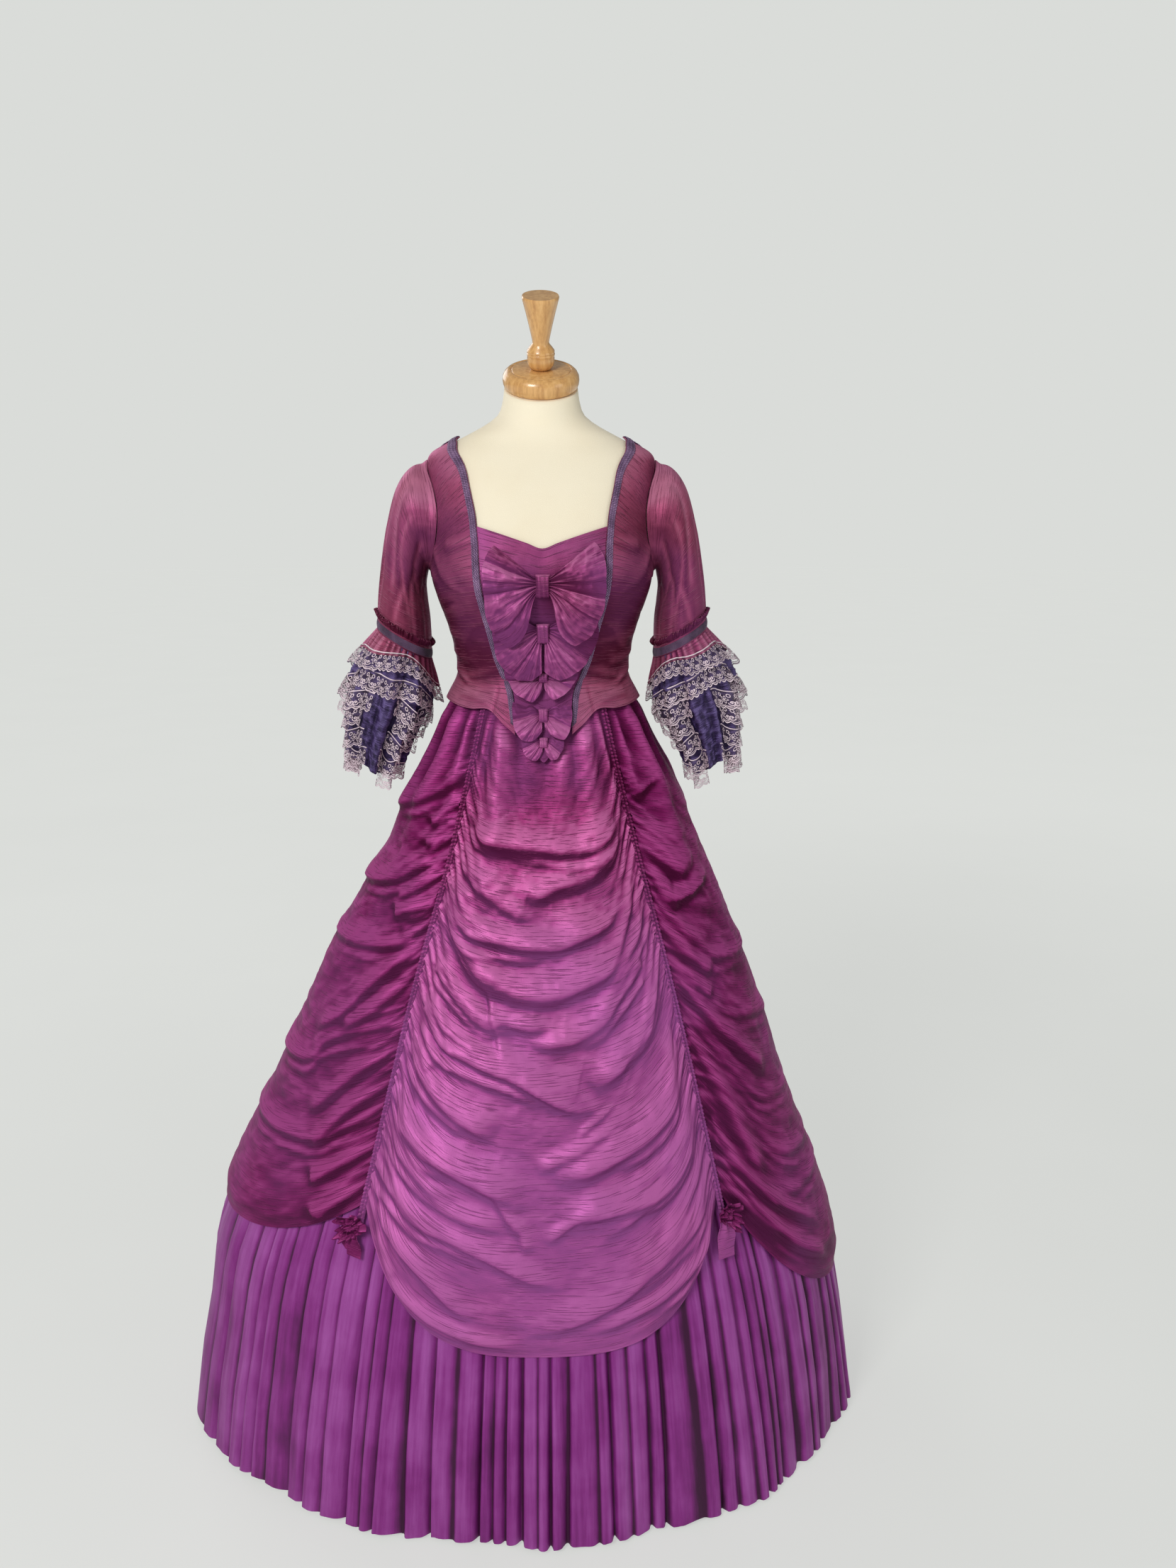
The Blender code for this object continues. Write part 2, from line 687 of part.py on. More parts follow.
def sleeve_turns(side):
    """The turn of each point of the armhole round the arm."""
    hole = resample(armhole(side, 0.0), SLEEVE_SIDES)
    middle = sum(hole, Vector()) / len(hole)
    return [math.degrees(math.atan2(place.z - middle.z, middle.y - place.y)) for place in hole]


def sleeve_loops(side, out):
    """Loops from the armhole to the cuff."""
    hole = resample(armhole(side, EASE + CLOTH * 0.5), SLEEVE_SIDES)
    middle = sum(hole, Vector()) / len(hole)
    first = []
    for place in hole:
        spread = place - middle
        spread.x = 0.0
        aside = Vector((side * HEAD_ASIDE, 0.0, 0.0))
        first.append(place + aside + spread.normalized() * (HEAD_ROUND + out))
    loops = [first]
    for row in SLEEVE:
        loops.append([arm_point(row, turn, side, out) for turn in sleeve_turns(side)])
    return loops


def cuff_ring(name, side, turns, span, outs, look):
    """A ring round the sleeve's end: its upper and lower edges stand off the sleeve by outs."""
    grids = []
    for thickness in (outs[2], 0.0):
        rows = []
        for along, out in zip(span, outs):
            loop = between_loops(SLEEVE, len(SLEEVE) - 1 + along / LAST_STEP)
            rows.append([arm_point(loop, turn, side, out + thickness) for turn in turns])
        grids.append(rows)
    wall(name, grids[0], grids[1], look, closed=True)


def tier_point(tier, turn, side, drop, thickness):
    wave = math.cos(math.radians(turn * TIER_WAVES)) * TIER_WAVE * min(drop / WAVE_RUN, 1.0)
    inset = mix(tier.top_inset, tier.inset, min(drop / INSET_RUN, 1.0))
    return arm_point(between_loops(CUFF, drop / CUFF_STEP), turn, side, wave - inset - thickness)


def tier_drop(tier, turn):
    return mix(tier.front, tier.back, (1.0 - math.cos(math.radians(turn))) / 2)


def build_tier(tier, side, word):
    turns = [180.0 * i / TIER_WAVES for i in range(2 * TIER_WAVES)]

    def grid(steps, start, thickness):
        rows = []
        for step in steps:
            drops = [start + step * tier_drop(tier, turn) for turn in turns]
            if start:
                drops = [tier_drop(tier, turn) + start + step * LACE_DROP for turn in turns]
            rows.append([tier_point(tier, turn, side, drop, thickness)
                         for turn, drop in zip(turns, drops)])
        return rows

    cloth = [grid(TIER_STEPS, 0.0, thickness) for thickness in (0.0, TIER_CLOTH)]
    for rows in cloth:
        rows[0] = [tier_point(tier, turn, side, 2 * GAP, TIER_CLOTH * (rows is cloth[1]))
                   for turn in turns]
    wall(tier.name + "_" + word, cloth[0], cloth[1], tier.look(), closed=True)
    lace = [grid((0.0, 1.0), GAP, thickness) for thickness in (0.0, LACE)]
    wall(tier.name.replace("flounce", "lace") + "_" + word, lace[0], lace[1], mauve_lace(), closed=True)


def build_sleeves():
    for side, word in ((1, "left"), (-1, "right")):
        turns = sleeve_turns(side)
        wall("sleeve_" + word, sleeve_loops(side, 0.0), sleeve_loops(side, -CLOTH),
             rose_silk(), closed=True)
        cuff_ring("cuff_heading_" + word, side, turns, CUFF_HEADING,
                  (HEADING_FLARE, GAP, TIER_CLOTH), rose_silk())
        cuff_ring("cuff_braid_" + word, side, turns, CUFF_BRAID, (GAP, GAP, BRAID), slate_braid())
        for tier in TIERS:
            build_tier(tier, side, word)


# The overskirt. Each panel's rows follow its swags: they run level at the waist and hang in deeper
# and deeper loops between two ruched seams down to the hem.

LAY = 0.0004
TAPE_WIDTH = 0.0104
PANEL_EDGE = 0.0055
SEAM_FOOT = 0.434
FRONT_SEAM = 44.5
BACK_SEAM = 135.0
# A swag's loop grows with a power of the way down; its ends flatten towards the seams.
SAG_POWER = 1.3
SWAG_START = 0.12
SWAG_RUN = 0.12
SWAG_EDGE = 0.14
SWAG_EDGE_SHARE = 0.25
DRIFT_MEAN = 0.70
DRIFT = 0.30
DRIFT_ACROSS = 2.6
DRIFT_DOWN = 0.73
GATHER_END = 0.30
GATHER_RUN = 0.12
GATHER_TOP_SHARE = 0.25
GATHER_TOP_RUN = 0.06

Panel = namedtuple("Panel", "name start end columns rows sag square depth gathers")
PANELS = [
    Panel("overskirt_front", -FRONT_SEAM, FRONT_SEAM, 16, 24, 0.172, 3.7, 0.0160, 0.0045),
    Panel("overskirt_right", -BACK_SEAM, -FRONT_SEAM, 12, 18, 0.088, 2.6, 0.0180, 0.0040),
    Panel("overskirt_left", FRONT_SEAM, BACK_SEAM, 12, 18, 0.215, 2.6, 0.0160, 0.0040),
    Panel("overskirt_back", BACK_SEAM, 360.0 - BACK_SEAM, 10, 16, 0.150, 3.0, 0.0170, 0.0040),
]
# How strong each swag is in turn down a panel, so that they aren't alike
SWAGS = [0.55, 1.00, 0.70, 0.95, 0.50, 0.85, 1.00, 0.60, 0.90, 0.75, 1.00, 0.65, 0.95, 0.80]


def panel_height(panel, t, v):
    """The height of a point across (0 to 1) and down (0 to 1) a panel."""
    edge = mix(OVERSKIRT_TOP, SEAM_FOOT, v)
    square = mix(2.0, panel.square, v)
    return edge - panel.sag * v**SAG_POWER * (1.0 - abs(2.0 * t - 1.0) ** square)


def panel_out(panel, row, column):
    """How far the cloth stands off the skirt under it: swags, and gathers below the waist."""
    v = row / panel.rows
    t = column / panel.columns
    edge = min(min(t, 1.0 - t) / SWAG_EDGE, 1.0)
    swag = 0.0
    if row % 2:
        drift = DRIFT_MEAN + DRIFT * math.cos(math.pi * (DRIFT_ACROSS * t + DRIFT_DOWN * row))
        swag = panel.depth * SWAGS[row // 2 % len(SWAGS)] * drift
        swag *= mix(SWAG_EDGE_SHARE, 1.0, edge) * ramp(v, SWAG_START, SWAG_START + SWAG_RUN)
    gather = 0.0
    if column % 2:
        gather = panel.gathers * min(v / GATHER_TOP_RUN + GATHER_TOP_SHARE, 1.0)
        gather *= 1.0 - ramp(v, GATHER_END - GATHER_RUN, GATHER_END)
    return LAY + max(swag, gather)


def build_panel(panel):
    outer, inner = [], []
    for row in range(panel.rows + 1):
        outer_row, inner_row = [], []
        for column in range(panel.columns + 1):
            t = column / panel.columns
            height = panel_height(panel, t, row / panel.rows)
            angle = mix(panel.start, panel.end, t)
            trim = math.degrees(PANEL_EDGE / skirt_radius(angle, height))
            angle += trim * (1.0 - 2.0 * t)
            radius = skirt_radius(angle, height) + panel_out(panel, row, column)
            outer_row.append(around(angle, radius + SKIRT_CLOTH, height))
            inner_row.append(around(angle, radius, height))
        outer.append(outer_row)
        inner.append(inner_row)
    wall(panel.name, outer, inner, magenta_silk())


# The ruched tapes over the seams: a ridge between two lower edges. Their ends run on under the ties.
SEAMS = {"left_front": FRONT_SEAM, "right_front": -FRONT_SEAM,
         "left_back": BACK_SEAM, "right_back": -BACK_SEAM}
TAPE_STEPS = 10
TAPE_END = 0.402
TAPE_RIDGE = 0.0062
TAPE_RIDGE_TOP = 0.0030
TAPE_EDGE = 0.0024


def build_tapes():
    for word, seam in SEAMS.items():
        outer, inner = [], []
        for step in range(TAPE_STEPS + 1):
            height = mix(OVERSKIRT_TOP, TAPE_END, step / TAPE_STEPS)
            radius = skirt_radius(seam, height)
            half = math.degrees(TAPE_WIDTH / 2 / radius)
            ridge = TAPE_RIDGE_TOP if step == 0 else TAPE_RIDGE
            outs = ((-half, TAPE_EDGE), (0.0, ridge), (half, TAPE_EDGE))
            turns = [(seam + turn, out) for turn, out in outs]
            outer.append([around(a, skirt_radius(a, height) + LAY + out, height) for a, out in turns])
            inner.append([around(a, skirt_radius(a, height) + LAY, height) for a, out in turns])
        wall("ruching_" + word, outer, inner, magenta_silk())


# A frilled tie closes the foot of each front seam: a rosette with a ribbon end.

TIE_HEIGHT = 0.402
TIE_REACH = 0.030
TIE_RINGS = (0.22, 0.62, 1.0)
TIE_PETALS = 6
TIE_VALLEY = 0.74
TIE_CUP = 0.0040
TIE_OUT = TAPE_RIDGE
TIE_THICK = 0.0050


def build_ties():
    for side, word in ((1, "left"), (-1, "right")):
        outer, inner = [], []
        for share in TIE_RINGS:
            high, low = [], []
            for step in range(2 * TIE_PETALS):
                spin = math.tau * step / (2 * TIE_PETALS)
                petal = 1.0 if step % 2 == 0 else TIE_VALLEY
                reach = TIE_REACH * share * mix(1.0, petal, share)
                height = TIE_HEIGHT + reach * math.cos(spin)
                radius = skirt_radius(side * FRONT_SEAM, height)
                angle = side * FRONT_SEAM + math.degrees(reach * math.sin(spin) / radius)
                base = skirt_radius(angle, height) + TIE_OUT
                cup = TIE_CUP * share * petal
                high.append(around(angle, base + TIE_THICK + cup, height))
                low.append(around(angle, base + cup, height))
            outer.append(high)
            inner.append(low)
        wall("tie_" + word, outer, inner, magenta_silk(), closed=True)


# The petticoat: a plain upper part and a pleated flounce in six panels

PETTICOAT_HEIGHTS = [PETTICOAT_TOP, 1.050, 0.970, 0.870, 0.720, 0.580, FLOUNCE_TOP + GAP]
PETTICOAT_SIDES = 24
FLOUNCE_HEIGHTS = [FLOUNCE_TOP, 0.270, HEM]
FLOUNCE_PANELS = 6
FLOUNCE_PLEATS = 15
PLEAT_DEPTH_TOP = 0.0045
PLEAT_DEPTH_HEM = 0.0120
PLEAT_VALLEY = 0.26
# How far the petticoat hangs inside the skirt's surface at the waist, further down and at the hem
WAIST_INSET = 0.0002
INSET = 0.0055
INSET_HEIGHT = 0.942
HEM_INSET = -0.005


def petticoat_inset(height):
    return mix(INSET, WAIST_INSET, ramp(height, INSET_HEIGHT, PETTICOAT_TOP))


def build_petticoat():
    outer, inner = [], []
    for height in PETTICOAT_HEIGHTS:
        turns = [360.0 * i / PETTICOAT_SIDES for i in range(PETTICOAT_SIDES)]
        inset = petticoat_inset(height)
        outer.append([around(a, skirt_radius(a, height) - inset, height) for a in turns])
        inner.append([around(a, skirt_radius(a, height) - inset - CLOTH, height) for a in turns])
    wall("petticoat_top", outer, inner, purple_cotton(), closed=True)
    width = 360.0 / FLOUNCE_PANELS
    for panel in range(FLOUNCE_PANELS):
        outer, inner = [], []
        for height in FLOUNCE_HEIGHTS:
            fall = (FLOUNCE_TOP - height) / (FLOUNCE_TOP - HEM)
            depth = mix(PLEAT_DEPTH_TOP, PLEAT_DEPTH_HEM, fall)
            high, low = [], []
            for step in range(2 * FLOUNCE_PLEATS + 1):
                pleat = step // 2 + (PLEAT_VALLEY if step % 2 else 0.0)
                angle = width * (panel - 0.5 + pleat / FLOUNCE_PLEATS)
                if step in (0, 2 * FLOUNCE_PLEATS):
                    trim = math.degrees(GAP / skirt_radius(angle, height))
                    angle += trim if step == 0 else -trim
                radius = skirt_radius(angle, height) - mix(petticoat_inset(height), HEM_INSET, fall)
                radius -= depth if step % 2 else 0.0
                high.append(around(angle, radius, height))
                low.append(around(angle, radius - SKIRT_CLOTH, height))
            outer.append(high)
            inner.append(low)
        wall("petticoat_flounce_%d" % (panel + 1), outer, inner, purple_cotton())


def remove_all():
    for item in list(bpy.data.objects):
        bpy.data.objects.remove(item)


def main():
    remove_all()
    collection = bpy.data.collections.new("rococo_gown")
    bpy.context.scene.collection.children.link(collection)
    build_form()
    build_bodice()
    build_bows()
    build_sleeves()
    for panel in PANELS:
        build_panel(panel)
    build_tapes()
    build_ties()
    build_petticoat()


if __name__ == "__main__":
    main()
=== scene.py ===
"""A rococo gown on a dress form: the cloth, lace and turned wood that show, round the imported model.

Metres, +Z up, the gown faces -Y. Angles go round the upright axis in degrees, from the front (0)
past the wearer's left (90) to the back (180).
"""

import math
from functools import partial, reduce

import bmesh
import bpy
import numpy as np
from bpy.props import FloatProperty, FloatVectorProperty, IntProperty, PointerProperty
from mathutils import Matrix, Vector, noise


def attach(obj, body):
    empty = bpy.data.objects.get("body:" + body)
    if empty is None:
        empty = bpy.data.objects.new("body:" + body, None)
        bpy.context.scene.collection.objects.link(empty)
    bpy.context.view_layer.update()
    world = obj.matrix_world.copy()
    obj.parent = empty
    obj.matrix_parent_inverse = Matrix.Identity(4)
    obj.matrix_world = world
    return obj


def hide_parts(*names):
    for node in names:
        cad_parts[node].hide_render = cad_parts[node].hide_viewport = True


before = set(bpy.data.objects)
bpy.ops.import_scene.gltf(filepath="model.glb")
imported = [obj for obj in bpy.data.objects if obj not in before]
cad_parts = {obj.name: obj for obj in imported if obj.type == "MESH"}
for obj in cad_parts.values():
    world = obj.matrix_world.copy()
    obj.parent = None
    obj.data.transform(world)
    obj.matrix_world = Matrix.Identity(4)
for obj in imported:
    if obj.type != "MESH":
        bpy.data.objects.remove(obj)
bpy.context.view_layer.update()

bl_info = {
    "name": "Rococo gown",
    "version": (1, 0, 0),
    "blender": (4, 5, 0),
    "location": "3D View > Sidebar > Gown",
    "description": "Dresses a limbless form in a rococo gown of shot silk and lace",
    "category": "Mesh",
}

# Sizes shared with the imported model

WAIST = 1.114
OVERSKIRT_TOP = 1.087
PETTICOAT_TOP = 1.092
PETTICOAT_EASED = 0.942
FLOUNCE_TOP = 0.460
HEM = 0.004
NECK_TOP = 1.500
NECK_TILT = math.radians(25.0)
NECK_TILT_START = 1.440
NECK_BACK = 0.0015
GAP = 0.0003
LAY = 0.0004
EASE = 0.0012
CLOTH = 0.0016
BODICE_OUT = EASE + CLOTH
BRAID_WIDTH = 0.013
FRONT_SEAM = 44.5
BACK_SEAM = 135.0
SEAM_FOOT = 0.434
SIDES = (1.0, "left"), (-1.0, "right")

# The photograph's size and focal length in pixels, and its camera: its place and the degrees that it
# looks down and to the side
IMAGE_WIDTH, IMAGE_HEIGHT, FOCAL = 1659.0, 2212.0, 1820.0
CAMERA = (0.0, -1.82, 1.339)
CAMERA_DOWN, CAMERA_ASIDE = 12.0, 2.0

# height, side, front, back, squareness
FORM = np.array([
    (0.8, 0.156, 0.1, 0.122, 2.2), (0.87, 0.166, 0.103, 0.13, 2.2),
    (0.95, 0.163, 0.103, 0.127, 2.2), (1.02, 0.143, 0.098, 0.106, 2.2),
    (1.075, 0.123, 0.09, 0.086, 2.2), (1.1, 0.1165, 0.0865, 0.078, 2.2),
    (1.114, 0.1155, 0.0865, 0.076, 2.2), (1.14, 0.1185, 0.091, 0.078, 2.2),
    (1.18, 0.128, 0.104, 0.083, 2.3), (1.22, 0.142, 0.116, 0.088, 2.4),
    (1.25, 0.1495, 0.12, 0.091, 2.5), (1.29, 0.15, 0.112, 0.094, 2.6),
    (1.33, 0.1505, 0.099, 0.095, 2.7), (1.37, 0.152, 0.082, 0.092, 2.7),
    (1.395, 0.153, 0.069, 0.085, 2.6), (1.412, 0.148, 0.06, 0.077, 2.4),
    (1.426, 0.125, 0.053, 0.07, 2.2), (1.44, 0.098, 0.049, 0.063, 2.1),
    (1.452, 0.076, 0.048, 0.058, 2), (1.464, 0.06, 0.048, 0.054, 2),
    (1.48, 0.0535, 0.048, 0.051, 2), (1.5, 0.0505, 0.047, 0.05, 2),
])
BUST_ANGLE, BUST_HEIGHT, BUST_RISE = 38.0, 1.243, 0.010
BUST_SPREAD_ANGLE, BUST_SPREAD_HEIGHT = 20.0, 0.040

# height, side, front, back
BASQUE = np.array([
    (0.99, 0.186, 0.131, 0.156), (1.01, 0.174, 0.1245, 0.144), (1.04, 0.156, 0.1155, 0.127),
    (1.06, 0.144, 0.109, 0.114), (1.075, 0.1365, 0.1035, 0.104), (1.09, 0.129, 0.097, 0.0935),
    (1.1, 0.124, 0.0925, 0.086), (1.108, 0.1185, 0.0885, 0.079), (1.114, 0.1155, 0.0865, 0.076),
])

# height, right, left, front, back
SKIRT = np.array([
    (0, 0.535, 0.468, 0.366, 0.43), (0.1, 0.525, 0.458, 0.357, 0.422),
    (0.2, 0.51, 0.445, 0.343, 0.41), (0.3, 0.496, 0.425, 0.325, 0.393),
    (0.4, 0.456, 0.39, 0.303, 0.37), (0.5, 0.404, 0.353, 0.276, 0.343),
    (0.6, 0.358, 0.32, 0.246, 0.312), (0.7, 0.314, 0.285, 0.215, 0.278),
    (0.8, 0.258, 0.246, 0.182, 0.24), (0.87, 0.218, 0.217, 0.158, 0.208),
    (0.92, 0.198, 0.198, 0.142, 0.183), (0.97, 0.178, 0.178, 0.126, 0.155),
    (1.02, 0.152, 0.152, 0.112, 0.125), (1.07, 0.13, 0.13, 0.098, 0.0955),
    (1.092, 0.1211, 0.1211, 0.0904, 0.083),
])

# angle, height, side angle, side height: the bodice front's rows from the hem to the shoulder
FRONT = [
    (18.5, 1.052, 89.8, 1.08), (20.5, 1.075, 89.8, 1.092), (23.5, 1.095, 89.8, 1.104),
    (29.5, 1.115, 89.8, 1.116), (33.8, 1.14, 89.8, 1.136), (34.5, 1.168, 89.8, 1.16),
    (34.3, 1.197, 89.8, 1.185), (33.6, 1.225, 89.8, 1.208), (34, 1.252, 89.8, 1.232),
    (37.5, 1.285, 89.8, 1.248), (41.8, 1.317, 78, 1.262), (45, 1.337, 69.5, 1.288),
    (51.3, 1.365, 67, 1.318), (58, 1.39, 69, 1.345), (66, 1.409, 74, 1.368),
    (77, 1.426, 82, 1.39), (89.8, 1.434, 89.8, 1.404),
]
# heights of the stomacher's rows at its centre
STOMACHER_CENTRE = 1.008, 1.045, 1.08, 1.112, 1.138, 1.165, 1.192, 1.218, 1.243, 1.267, 1.289
POINT_ANGLE, POINT_DROP, HEM_DROP = 36.0, 0.028, 0.009

# height, side angle, side height: the bodice back's rows
BACK = [
    (1.066, 90.2, 1.08), (1.082, 90.2, 1.092), (1.098, 90.2, 1.104), (1.116, 90.2, 1.116),
    (1.14, 90.2, 1.136), (1.166, 90.2, 1.16), (1.192, 90.2, 1.185), (1.216, 90.2, 1.208),
    (1.24, 90.2, 1.232), (1.264, 90.2, 1.248), (1.286, 102, 1.262), (1.306, 110.5, 1.288),
    (1.325, 113, 1.318), (1.341, 111, 1.345), (1.354, 106, 1.368), (1.364, 98, 1.39),
    (1.37, 90.2, 1.404), (1.374, 90.2, 1.421), (1.386, 90.2, 1.434),
]
CENTRE_BACK = 179.85

# height, reach, knot width, knot height, lift over the next bow
BOWS = [
    (1.242, 0.075, 0.01, 0.014, 0.015), (1.181, 0.063, 0.009, 0.013, 0.009),
    (1.117, 0.0455, 0.007, 0.009, 0.008), (1.067, 0.0395, 0.007, 0.009, 0.007),
    (1.033, 0.029, 0.006, 0.007, 0),
]
# Each bow's upper and lower direction, and its wings' reaches in mm at seven directions between
WINGS = [
    (38.0, -59.0, (79, 80, 77, 76, 78, 83, 85), (86, 84, 83, 82, 81, 82, 82)),
    (20.0, -88.0, (67, 66, 66, 67, 70, 71, 52), (75, 73, 69, 68, 66, 66, 50)),
    (20.0, -86.0, (55, 50, 46, 44, 40, 37, 18), (50, 45, 43, 39, 36, 34, 16)),
    (22.0, -84.0, (44, 41, 41, 42, 43, 35, 20), (39, 38, 38, 40, 41, 28, 15)),
    (10.0, -82.0, (29, 29, 29, 29, 28, 25, 13), (27, 27, 27, 26, 27, 24, 12)),
]
# start and end of each folded band across the left and the right wing, its lean to a lighter or
# darker tone, which is painted light and painted shade, and its bulge, for the top bow and for the
# others
BANDS = [
    ([(0.00, 0.17, -0.20, 0.3), (0.17, 0.34, 0.08, 1.0), (0.34, 0.44, -0.18, 0.4),
      (0.44, 0.80, 0.06, 1.3), (0.80, 1.0, -0.12, 0.7)],
     [(0.00, 0.34, -0.04, 1.2), (0.34, 0.46, -0.20, 0.4), (0.46, 0.64, 0.12, 0.8),
      (0.64, 1.0, 0.08, 1.1)]),
    ([(0.00, 0.26, -0.14, 0.6), (0.26, 0.66, 0.08, 1.2), (0.66, 1.0, 0.02, 1.0)],
     [(0.00, 0.40, -0.12, 0.8), (0.40, 1.0, 0.10, 1.4)]),
]

# outer x and z, inner x and z, y, half depth: loops round the arm
SLEEVE = [
    (0.179, 1.394, 0.1575, 1.26, 0.003, 0.064), (0.198, 1.368, 0.161, 1.25, 0.004, 0.064),
    (0.211, 1.325, 0.163, 1.236, 0.006, 0.064), (0.22, 1.28, 0.1615, 1.216, 0.008, 0.064),
    (0.227, 1.23, 0.1585, 1.188, 0.009, 0.063), (0.231, 1.1775, 0.158, 1.135, 0.01, 0.062),
]
CUFF = [
    SLEEVE[-1],
    (0.26, 1.14, 0.153, 1.098, 0.008, 0.077), (0.278, 1.098, 0.157, 1.06, 0.008, 0.084),
    (0.285, 1.055, 0.176, 1.022, 0.01, 0.082), (0.286, 1.012, 0.1925, 0.985, 0.014, 0.078),
    (0.284, 0.97, 0.207, 0.948, 0.018, 0.072),
]
CUFF_STEP = 0.040
LAST_SLEEVE_STEP = 0.054
# rise and width in mm, start turn and share of the height, end turn and share
SLEEVE_FOLDS = [
    (2.6, 7, 20, 0.86, 48, 0.3), (2.2, 6, -10, 0.8, 12, 0.12), (2.4, 6, 52, 0.95, 78, 0.45),
    (2, 5, 34, 0.55, 20, 0.05), (2.8, 7, -34, 0.9, -22, 0.25), (1.8, 5, 66, 0.5, 52, 0.04),
    (2.2, 6, -52, 0.6, -60, 0.1), (1.8, 5, 0, 0.45, -8, 0.03), (2.4, 7, 100, 0.9, 112, 0.15),
    (2.2, 6, 140, 0.8, 150, 0.2), (2.2, 6, 185, 0.75, 180, 0.1),
]

# A scallop's width, the lace's depth, and the scallops round a whole turn of a tier and of a fall
SCALLOP = 0.0105
LACE_DEPTH = 0.026
TIER_SCALLOPS, FALL_SCALLOPS = 50, 56
# drop at the front and the back, insets at the top and lower down, finish, seed
TIERS = {
    "silk": (0.013, 0.060, 0.0000, 0.0000, "rose_silk", 0.4),
    "short": (0.042, 0.108, 0.0018, 0.0058, "violet_cotton", 1.9),
    "long": (0.172, 0.168, 0.0036, 0.0116, "violet_cotton", 3.3),
}
# The longest lace parts at the front, this far each way, and falls there in stepped bands: drop,
# turn where the band starts beside the parting, and its end further round
LACE_PARTS = 22.0
FALLS = [(0.072, 16.0, 96.0), (0.096, 26.0, 88.0), (0.121, 20.0, 80.0), (0.146, 13.0, 60.0)]

# Scrolls of the gimp: their length, sway and cords
SCROLL, SCROLL_SWAY, CORD = 0.0075, 0.0022, 0.0036

# radius, height
PROFILES = {
    "neck_cap_wood": [
        (0, 0), (0.047, 0), (0.0495, 0.0022), (0.0512, 0.0065), (0.0518, 0.0115),
        (0.0512, 0.0165), (0.049, 0.0208), (0.0458, 0.0238), (0.0425, 0.0252), (0.0408, 0.025),
        (0.04, 0.024), (0.0392, 0.025), (0.038, 0.0255), (0, 0.0255)],
    "neck_finial_wood": [
        (0, 0), (0.012, 0), (0.015, 0.0022), (0.0172, 0.006), (0.0182, 0.0105), (0.0184, 0.0148),
        (0.0178, 0.0172), (0.0186, 0.0188), (0.0188, 0.0204), (0.018, 0.0218), (0.0184, 0.0228),
        (0.0184, 0.0244), (0.0176, 0.0256), (0.015, 0.0292), (0.0122, 0.0325), (0.011, 0.035),
        (0.0116, 0.039), (0.015, 0.055), (0.0198, 0.075), (0.0238, 0.0905), (0.0246, 0.0938),
        (0.0238, 0.0958), (0, 0.096)],
    "stand_base_wood": [
        (0, 0), (0.188, 0), (0.19, 0.003), (0.19, 0.012), (0.1885, 0.016), (0.184, 0.018),
        (0.182, 0.0215), (0.16, 0.0245), (0.07, 0.0315), (0.036, 0.035), (0.033, 0.04),
        (0.031, 0.054), (0.028, 0.06), (0, 0.06)],
    "stand_pole_wood": [
        (0, 0.0603), (0.015, 0.0603), (0.016, 0.062), (0.016, 0.798), (0, 0.7997)],
}

# Darts, slits and drag lines: rise, width above and below in mm, then (angle, height) points
BODICE_FOLDS = [
    (-1.6, 3, 4, [(88, 1.196), (76, 1.207), (62, 1.216), (52, 1.222)]),
    (2.4, 13, 6, [(60, 1.104), (74, 1.118), (88, 1.126)]),
    (2, 10, 6, [(34, 1.128), (48, 1.122), (66, 1.114)]),
    (2.2, 12, 6, [(88, 1.15), (70, 1.142), (52, 1.134)]),
    (-1.4, 2.2, 3, [(35, 1.062), (35.2, 1.085), (35.6, 1.106)]),
    (1.8, 9, 7, [(66, 1.245), (74, 1.252), (80, 1.262)]),
    (2.6, 10, 6, [(62, 1.262), (67, 1.275), (71, 1.292)]),
    (1.6, 11, 6, [(40, 1.165), (52, 1.17), (68, 1.172), (84, 1.174)]),
    (2.2, 12, 7, [(46, 1.236), (56, 1.248), (66, 1.268)]),
    (1.8, 10, 6, [(44, 1.3), (52, 1.292), (60, 1.29)]),
    (1.8, 12, 7, [(42, 1.192), (50, 1.184), (60, 1.164), (72, 1.154)]),
    (1.5, 8, 5, [(40, 1.086), (52, 1.092), (66, 1.094)]),
]

# The overskirt's folds: points on their crests, picked in three enlarged parts of the
# photograph. Each part has its left and top edge in the photograph's pixels, and its own pixel's size.
ENLARGED = {"upper": (560, 980, 0.2806), "lower": (440, 1300, 0.4209), "whole": (450, 940, 0.6504)}
PICKED_OUT = 0.006
